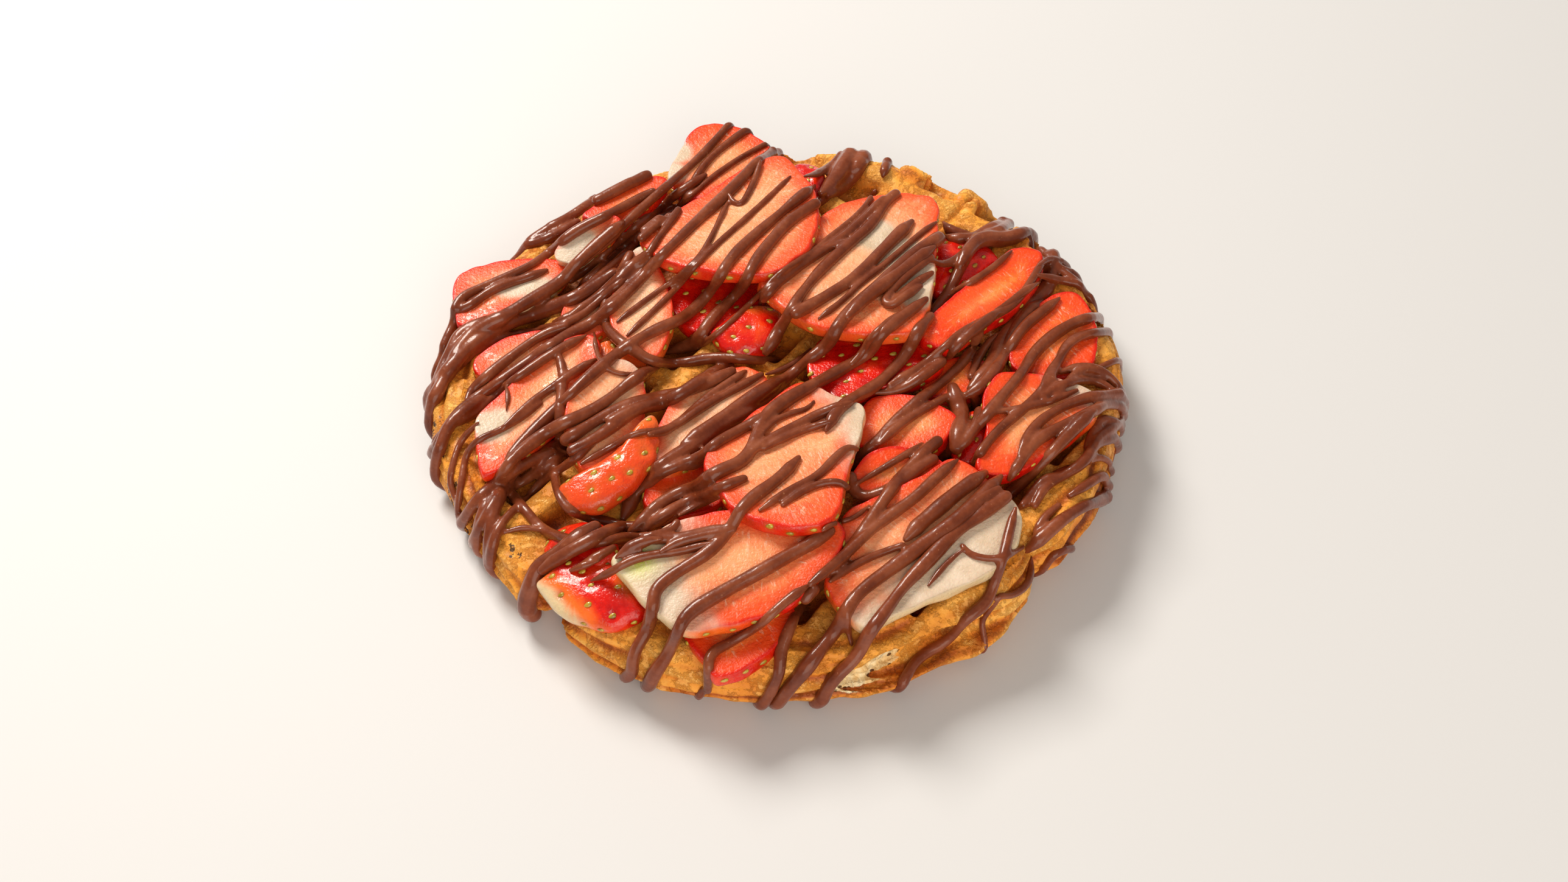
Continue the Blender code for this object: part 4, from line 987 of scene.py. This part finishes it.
def eased(outline, passes=3, share=0.24):
    """A closed outline with its corners eased again and again."""
    for _ in range(passes):
        points = []
        for before, here, after in zip(outline[-1:] + outline[:-1], outline, outline[1:] + outline[:1]):
            points += [here.lerp(before, share), here.lerp(after, share)]
        outline = points
    return outline


def spaced(outline, count):
    """Points at even distances round a closed outline, counter-clockwise."""
    ring = np.array([spot.to_2d() for spot in outline])
    ahead = np.roll(ring, -1, 0)
    if np.sum(ring[:, 0] * ahead[:, 1] - ring[:, 1] * ahead[:, 0]) < 0:
        ring = ring[::-1]
        ahead = np.roll(ring, -1, 0)
    walked = np.concatenate([[0], np.cumsum(np.hypot(*(ahead - ring).T))])
    ring = np.vstack([ring, ring[:1]])
    at = np.linspace(0, walked[-1], count, endpoint=False)
    return np.stack([np.interp(at, walked, ring[:, 0]), np.interp(at, walked, ring[:, 1])], 1)


def sighted_on(spot, rest, normal):
    """Where the line of sight through a station of the reading level meets a plane."""
    sight = Vector((spot[0] * MM, spot[1] * MM, SIGHT_LEVEL)) - EYE
    return EYE + sight * ((rest - EYE).dot(normal) / sight.dot(normal))


def cut_face(node):
    """A point and the normal of the widest flat that looks up from a slice's solid."""
    flats = []
    steepest, same_plane, same_way = 0.9, 0.2 * MM, 0.01
    for face in node.data.polygons:
        if face.normal.z < steepest:
            continue
        for flat in flats:
            on_plane = abs((face.center - flat[0]).dot(flat[1])) < same_plane
            if on_plane and (flat[1] - face.normal).length < same_way:
                flat[2] += face.area
                break
        else:
            flats.append([face.center.copy(), face.normal.copy(), face.area])
    point, normal, _ = max(flats, key=lambda flat: flat[2])
    return point, normal


# A slice's section from the middle of its top to the middle of its underside: how far out each
# ring is as a share of the outline, how high as a share of the thickness, and how much it is skin
AROUND = 160
TOP_RINGS = 23
DOME_RINGS = 30
DOME_BULGE = 1 / 1.2
UNDERSIDE = [(share, 0.0, 0.0) for share in (0.9, 0.75, 0.5, 0.25, 0.0)]
FLAT_SECTION = [(0.957 * k / TOP_RINGS, 1.0, 0.0) for k in range(TOP_RINGS + 1)]
FLAT_SECTION += [(0.97, 0.985, 0.1), (0.981, 0.95, 0.4), (0.99, 0.87, 0.8), (0.997, 0.74, 1.0),
                 (1.0, 0.6, 1.0), (1.0, 0.44, 1.0), (0.994, 0.28, 1.0), (0.983, 0.14, 1.0),
                 (0.965, 0.04, 1.0), (0.94, 0.0, 0.4)] + UNDERSIDE
ROUND_SECTION = []
for k in range(DOME_RINGS + 1):
    turn = 0.5 * math.pi * k / DOME_RINGS
    rise = 0.3 + 0.7 * math.cos(turn) ** DOME_BULGE
    ROUND_SECTION.append((math.sin(turn) ** DOME_BULGE, rise, 1.0))
ROUND_SECTION += [(0.99, 0.2, 1.0), (0.975, 0.1, 1.0), (0.95, 0.0, 0.5)] + UNDERSIDE


def seed_places(spots, allowed, gap, draw):
    """Corners for the seeds, drawn in a fixed order and kept a gap apart."""
    order = [int(k) for k in np.flatnonzero(allowed)]
    draw.shuffle(order)
    kept = []
    for k in order:
        if all((spots[k] - spots[n]) @ (spots[k] - spots[n]) > gap * gap for n in kept):
            kept.append(k)
    return kept


# The spot of one slice that stayed green, as a station of the reading level and its width
UNRIPE = ((-33, -69, 4),)


class Slice:
    """One strawberry slice on the plane of its solid, and what its finish reads."""

    def __init__(self, spec, number):
        self.name, heading, self.is_round, *outline = spec
        self.number = number
        top, normal = cut_face(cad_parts[self.name])
        thick = ROUND_THICK if self.is_round else FLAT_THICK
        above = 0.5 * thick if self.is_round else thick
        level = top - normal * (thick - above)
        flat = spaced(eased([Vector(point) for point in outline]), AROUND)
        middle = flat.mean(0)
        flat += (flat - middle) / np.hypot(*(flat - middle).T)[:, None] * SPREAD
        self.rim = np.array([sighted_on(spot, level, normal) - normal * above for spot in flat])
        self.centre = self.rim.mean(0)
        section = np.array(ROUND_SECTION if self.is_round else FLAT_SECTION)
        self.piece, step, ring = ball(self.name.replace("slice", "berry"), AROUND, len(section) - 1)
        self.share, self.height, self.skin = section[ring].T
        if self.name in SKIN_UP:
            self.skin = np.where(self.height > 0.9, 1.0, self.skin)
        self.up = np.array(normal)
        self.arm = self.rim[step] - self.centre
        rise = self.up * (thick * self.height)[:, None]
        self.spots = self.centre + self.arm * self.share[:, None] + rise
        tip = pointing(heading)
        self.along = np.array((tip - normal * tip.dot(normal)).normalized())

    def laid_flat(self, spots):
        """Spots along the slice's own two axes: along the tip's heading, and across it."""
        across = np.cross(self.up, self.along)
        return np.stack([(spots - self.centre) @ self.along, (spots - self.centre) @ across], 1)

    def flesh(self):
        """How far each corner is from the core and from the rim, and which way its fibres run."""
        spots, rim = self.laid_flat(self.spots), self.laid_flat(self.rim)
        long = rim[:, 0].max() - rim[:, 0].min()
        core = np.clip(spots[:, 0], -0.26 * long, 0.16 * long)
        core = np.stack([core, np.zeros(len(spots))], 1)
        from_core = np.hypot(*(spots - core).T)
        outward = (spots - core) / np.maximum(from_core, 1e-6)[:, None]
        fibre = np.concatenate([core + outward * 6 * MM, (from_core * 0.5)[:, None]], 1)
        return from_core, nearest(spots, rim), fibre

    def whiteness(self):
        """How far each corner lies in the white shoulder or in a pale spot."""
        _, way, amount = LOOKS[self.name]
        white = np.array(pointing(way))
        lie = (self.spots - self.centre) @ white
        lie = lie / max(abs((self.rim - self.centre) @ white))
        pale = 0.65 + (lie - (1 - 2 * amount)) * 1.3 if amount else np.zeros(len(lie))
        marks = PALE_SPOTS.get(self.name, ())
        return np.maximum(pale, 1.3 * spotted(self.spots, marks, SIGHT_LEVEL))

    def made_uneven(self):
        """Makes the thickness and the outline uneven, and bends the slice gently."""
        thicker = 0.22 * MM * uneven(self.spots, 8 * MM, self.number)
        bend = 0.4 * MM * uneven(self.spots, 26 * MM, self.number + 50)
        self.spots += self.up * (np.clip(self.height, 0, 1) * thicker + bend)[:, None]
        outward = self.arm / np.linalg.norm(self.arm, axis=1)[:, None]
        wider = 0.35 * MM * uneven(self.spots, 5 * MM, self.number + 90)
        self.spots += outward * (eased_step(self.share, 0.8, 1.0) * wider)[:, None]
        moved_to(self.piece, self.spots)

    def seeded(self, pale, seeds):
        """Sinks pits for seeds in the skin where it isn't white, and adds the seeds to a list."""
        lowest, gap, depth = (0.34, 4.6, 0.5) if self.is_round else (0.36, 5.2, 0.3)
        depth *= MM
        normals = normals_of(self.piece)
        allowed = (self.skin > 0.95) & (self.height > lowest) & (pale < 0.7)
        if not (self.is_round or self.name in SKIN_UP):
            allowed &= self.height < 0.75
        draw = random.Random(self.number)
        pit = np.zeros(len(self.spots))
        for k in seed_places(self.spots, allowed, gap * MM, draw):
            away = np.linalg.norm(self.spots - self.spots[k], axis=1) / (1.25 * MM)
            pit = np.maximum(pit, np.exp(-away * away))
            seeds.append((Vector(self.spots[k] - normals[k] * depth * 0.72), Vector(normals[k]),
                          Vector(self.along), draw.uniform(0.85, 1.15)))
        moved_to(self.piece, self.spots - normals * (pit * depth)[:, None])
        return pit

    def finished(self, finish, seeds):
        """The finished slice, which takes its solid's place."""
        from_core, to_rim, fibre = self.flesh()
        pale = self.whiteness()
        self.made_uneven()
        pit = self.seeded(pale, seeds)
        notes = {"depth": from_core / (from_core + to_rim + 1e-6), "rim": to_rim / MM,
                 "fibre": fibre, "pale": pale, "skin": self.skin, "pit": pit,
                 "ripe": np.full(len(pale), LOOKS[self.name][0]),
                 "green": spotted(self.spots, UNRIPE, SIGHT_LEVEL)}
        for name, values in notes.items():
            noted_on(self.piece, name, values)
        dressed(self.piece, finish, 60)
        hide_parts(self.name)
        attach(self.piece, "root")
        return self.piece


def make_seeds(seeds):
    """All the seeds as one piece: a teardrop modelled once, and copied into each pit."""
    bpy.ops.object.select_all(action="DESELECT")
    bpy.ops.mesh.primitive_uv_sphere_add(segments=8, ring_count=6, radius=SEED_RADIUS)
    pattern = named("seed")
    for vert in pattern.data.vertices:
        narrow = 1 - 0.32 * vert.co.x / SEED_RADIUS
        vert.co = Vector((vert.co.x * 2.0, vert.co.y * 1.2 * narrow, vert.co.z * 0.7 * narrow))
    pattern.data.shade_smooth()
    copies = []
    for spot, normal, along, size in seeds:
        side = normal.cross(along).normalized()
        turned = Matrix((side.cross(normal), side, normal)).transposed() * size
        mesh = pattern.data.copy()
        mesh.transform(Matrix.Translation(spot) @ turned.to_4x4())
        copy = bpy.data.objects.new("seed", mesh)
        bpy.context.scene.collection.objects.link(copy)
        copies.append(copy)
    only(copies[0])
    for copy in copies:
        copy.select_set(True)
    bpy.ops.object.join()
    bpy.data.objects.remove(pattern, do_unlink=True)
    piece = named("strawberry_seeds")
    piece.data.materials.append(seed_finish())
    return piece


def stations(strand):
    """Points a millimetre apart along a strand's stations, with its corners eased."""
    points = [Vector((x, y)) for x, y in strand[1:]]
    for _ in range(3):
        smooth = [points[0]]
        for here, after in zip(points, points[1:]):
            smooth += [here.lerp(after, 0.25), here.lerp(after, 0.75)]
        points = smooth + [points[-1]]
    line = np.array(points)
    walked = np.concatenate([[0], np.cumsum(np.hypot(*np.diff(line, axis=0).T))])
    at = np.linspace(0, walked[-1], max(4, round(walked[-1])))
    return np.stack([np.interp(at, walked, line[:, 0]), np.interp(at, walked, line[:, 1])], 1)


def search_tree(pieces):
    """One search tree over several pieces."""
    corners, faces = [], []
    for piece in pieces:
        start = len(corners)
        corners += [vert.co.copy() for vert in piece.data.vertices]
        faces += [[start + k for k in face.vertices] for face in piece.data.polygons]
    return BVHTree.FromPolygons(corners, faces)


# How far a strand may jump along a line of sight or drop where it goes on, its step down the
# side, and how high above the foot it still clings
JUMP = 13 * MM
DROP = 5 * MM
SIDE_STEP = 1.2 * MM
CLING = 3 * MM


def carried_on(stretch, tree):
    """A stretch that goes on over the edge that hides the rest of it from the front."""
    above = 60 * MM
    spot = stretch[-1].copy()
    way = stretch[-1, :2] - stretch[-4, :2]
    if np.hypot(*way) < 0.2 * MM:
        return stretch
    way /= np.hypot(*way)
    rows = []
    for _ in range(14):
        spot[:2] += way * MM
        hit, _, _, _ = tree.ray_cast(Vector((spot[0], spot[1], above)), Vector((0, 0, -1)))
        if hit is None or hit.z < CLING or abs(hit.z + 0.4 * spot[3] - spot[2]) > DROP:
            break
        spot[2] = 0.4 * spot[2] + 0.6 * (hit.z + 0.4 * spot[3])
        rows.append(spot.copy())
    return np.concatenate([stretch, np.array(rows)]) if rows else stretch


def run_down(stretch, tree):
    """A stretch that goes on down the waffle's side to its foot, where it ends at the rim."""
    x, y, z, radius = stretch[-1]
    reach = math.hypot(x, y)
    if reach < RADIUS - 4.5 * MM or z < 4 * MM:
        return stretch
    out = Vector((x / reach, y / reach, 0))
    drift = stretch[-1, :2] - stretch[-4, :2]
    drift = Vector((drift[0], drift[1], 0))
    drift = (drift - out * drift.dot(out)) / max(drift.length, 0.1 * MM)
    rows = []
    level = z - SIDE_STEP
    while level > radius:
        way = (out + drift * ((z - level) / RADIUS) * 0.5).normalized()
        hit, _, _, _ = tree.ray_cast(way * (RADIUS + 20 * MM) + Vector((0, 0, level)), -way)
        if hit is None or math.hypot(hit.x, hit.y) < RADIUS - 12 * MM:
            break
        spot = hit + way * 0.4 * radius
        rows.append((spot.x, spot.y, level, radius * (0.9 + 0.15 * (1 - level / z))))
        level -= SIDE_STEP
    if len(rows) < 3:
        return stretch
    joined = np.concatenate([stretch, np.array(rows)])
    evened(joined[-len(rows) - 3:, :3], 3)
    return joined


def met(line, tree):
    """The lines of sight through a strand's points, and how far along each the pile is met."""
    rays = np.array([(x * MM, y * MM, SIGHT_LEVEL) for x, y in line]) - np.array(EYE)
    rays /= np.linalg.norm(rays, axis=1)[:, None]
    reach = np.full(len(line), np.nan)
    for k, ray in enumerate(rays):
        hit, _, _, far = tree.ray_cast(EYE, Vector(ray))
        if hit is not None and hit.z > 1.2 * MM:
            reach[k] = far
    return rays, reach


def unbroken(reach):
    """The runs of points along which no edge or gap parts a strand."""
    breaks = [0]
    for k in range(1, len(reach)):
        if np.isnan(reach[k]) or np.isnan(reach[k - 1]) or abs(reach[k] - reach[k - 1]) > JUMP:
            breaks.append(k)
    breaks.append(len(reach))
    runs = [slice(first, last) for first, last in zip(breaks, breaks[1:]) if last - first > 3]
    return [run for run in runs if not np.isnan(reach[run]).any()]


def hung(reach):
    """How far along the lines of sight a strand lies that hangs across small gaps."""
    far = reach.copy()
    for _ in range(12):
        far[1:-1] = np.minimum(reach[1:-1], 0.5 * (far[:-2] + far[2:]))
    evened(far, 3)
    return far


def lift_over(line, radius, laid):
    """How far a strand is lifted where it passes over those that are laid."""
    lift = np.zeros(len(line))
    for other, other_radius in laid:
        away = nearest(line, other) * MM
        near = 1 - (away / (0.9 * (radius + other_radius))) ** 2
        lift = np.maximum(lift, 0.95 * other_radius * np.clip(near, 0, 1))
    evened(lift, 6)
    return lift


def ended(stretch, end, line, reach, tree, number):
    """A stretch whose last end goes on over the edge and down the side, or else tapers.

    The end is the number of the point after it, and the strand's own two ends are -1 and the
    count of its points.
    """
    over_edge = 0 <= end < len(line) and np.isnan(reach[end])
    own_end = end in (-1, len(line))
    if own_end:
        last, before = (line[-1], line[-2]) if end > 0 else (line[0], line[1])
        beyond = last + 3 * (last - before)
        ray = Vector((beyond[0] * MM, beyond[1] * MM, SIGHT_LEVEL)) - EYE
        over_edge = tree.ray_cast(EYE, ray.normalized())[0] is None
    longer = carried_on(stretch, tree) if over_edge else stretch
    longer = run_down(longer, tree) if over_edge or own_end else longer
    if len(longer) == len(stretch) and own_end:
        tip = 0.55 + 0.5 * noise.noise(Vector((7.3 * number, end, 0.5)))
        count = min(5, len(stretch) // 2)
        longer[-count:, 3] *= np.linspace(1, max(0.3, min(0.9, tip)), count)
    return longer


def draped(strand, tree, laid, number):
    """The stretches of a strand where it lies on what the line of sight meets.

    Each is rows of x, y, z and radius. A strand that is poured later passes over those below.
    """
    line = stations(strand)
    radius = 0.5 * strand[0] * MM
    rays, reach = met(line, tree)
    stretches = []
    for run in unbroken(reach):
        far = hung(reach[run]) - 0.5 * radius - lift_over(line[run], radius, laid)
        place = np.array(EYE) + rays[run] * far[:, None]
        thick = radius * (1 + 0.16 * uneven(place, 10 * MM, number))
        stretch = np.concatenate([place, thick[:, None]], 1)
        for end in (run.stop, run.start - 1):
            stretch = ended(stretch, end, line, reach, tree, number)[::-1]
        stretches.append(stretch)
    laid.append((line, radius))
    return stretches


def rounded(stretch):
    """A stretch with blunt round ends."""
    rows = [stretch]
    for end, inner, first in ((stretch[0], stretch[2], True), (stretch[-1], stretch[-3], False)):
        out = (end[:3] - inner[:3]) / np.linalg.norm(end[:3] - inner[:3])
        cap = [np.append(end[:3] + out * end[3] * math.sin(turn), end[3] * math.cos(turn))
               for turn in (0.45, 0.9, 1.25)]
        rows = [np.array(cap[::-1])] + rows if first else rows + [np.array(cap)]
    return np.concatenate(rows)


def pour(name, stretches, finish):
    """Chocolate run along many stretches and melted together where they meet."""
    curve = bpy.data.curves.new(name, "CURVE")
    curve.dimensions = "3D"
    curve.bevel_depth = 1
    curve.bevel_resolution = 3
    curve.use_fill_caps = True
    for stretch in map(rounded, stretches):
        spline = curve.splines.new("POLY")
        spline.points.add(len(stretch) - 1)
        spline.points.foreach_set("co", np.insert(stretch[:, :3], 3, 1, axis=1).ravel())
        spline.points.foreach_set("radius", stretch[:, 3])
    piece = bpy.data.objects.new(name, curve)
    bpy.context.scene.collection.objects.link(piece)
    only(piece)
    bpy.ops.object.convert(target="MESH")
    piece = named(name)
    applied(piece, "WELD", merge_threshold=0.01 * MM)
    softened(piece, SAUCE_CELL, 5)
    spots = corners_of(piece)
    spots[:, 2] = np.maximum(spots[:, 2], LOWEST)
    moved_to(piece, spots)
    thinned(piece, SAUCE_TRIANGLES)
    dressed(piece, finish, 80)
    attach(piece, "root")


def lamp(name, place, aim, size, power, tint):
    """A soft square light."""
    light = bpy.data.lights.new(name, "AREA")
    light.size = size
    light.energy = power
    light.color = tint[:3]
    lamp_object = bpy.data.objects.new(name, light)
    lamp_object.location = place
    lamp_object.rotation_euler = (Vector(aim) - Vector(place)).to_track_quat("-Z", "Y").to_euler()
    bpy.context.scene.collection.objects.link(lamp_object)


# The waffle
waffle = make_waffle()
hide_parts("waffle")
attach(waffle, "root")

# The strawberries
seeds = []
strawberry = strawberry_finish()
berries = [Slice(spec, number).finished(strawberry, seeds) for number, spec in enumerate(SLICES)]
seed_piece = make_seeds(seeds)
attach(seed_piece, "root")

# The chocolate, laid strand by strand and melted together in parts from left to right
tree = search_tree([waffle] + berries)
laid, stretches = [], []
for number, strand in enumerate(STRANDS):
    stretches += draped(strand, tree, laid, number)
stretches.sort(key=lambda stretch: stretch[:, 0].mean())
chocolate = chocolate_finish()
parts = ("far_left", "left", "near_left", "near_right", "right", "far_right")
share = math.ceil(len(stretches) / len(parts))
for k, part in enumerate(parts):
    pour("chocolate_" + part, stretches[k * share:(k + 1) * share], chocolate)

# A plain pale floor
bpy.ops.object.select_all(action="DESELECT")
bpy.ops.mesh.primitive_plane_add(size=6)
floor = named("floor")
pale_floor = Finish("pale_floor", Base_Color=shade(216, 216, 217), Roughness=0.6)
floor.data.materials.append(pale_floor.material)

# Soft studio light
lamp("window", (-0.6, 0.75, 1.0), (0, 0, 0), 0.5, 22, shade(255, 248, 238))
lamp("room", (0.2, -1.05, 0.55), (0, 0, 0), 1.1, 10, shade(255, 244, 230))
sky = bpy.data.worlds.new("studio")
sky.use_nodes = True
sky.node_tree.nodes["Background"].inputs["Color"].default_value = shade(240, 234, 226)
sky.node_tree.nodes["Background"].inputs["Strength"].default_value = 0.35
bpy.context.scene.world = sky
bpy.context.scene.view_settings.view_transform = "Standard"

# The camera, where the photo was taken from
lens = bpy.data.cameras.new("camera")
lens.sensor_width = SENSOR
lens.lens = FOCAL_PIXELS / PHOTO_WIDTH * SENSOR
lens.clip_start = 0.01
camera = bpy.data.objects.new("camera", lens)
back = Vector((0, -math.cos(ELEVATION), math.sin(ELEVATION)))
upright = Vector((0, math.sin(ELEVATION), math.cos(ELEVATION)))
right = Vector((1, 0, 0)) * math.cos(ROLL) + upright * math.sin(ROLL)
upright = upright * math.cos(ROLL) - Vector((1, 0, 0)) * math.sin(ROLL)
stand = Matrix((right, upright, back)).transposed().to_4x4()
stand.translation = AIM + back * DISTANCE
camera.matrix_world = stand
bpy.context.scene.collection.objects.link(camera)
bpy.context.scene.camera = camera
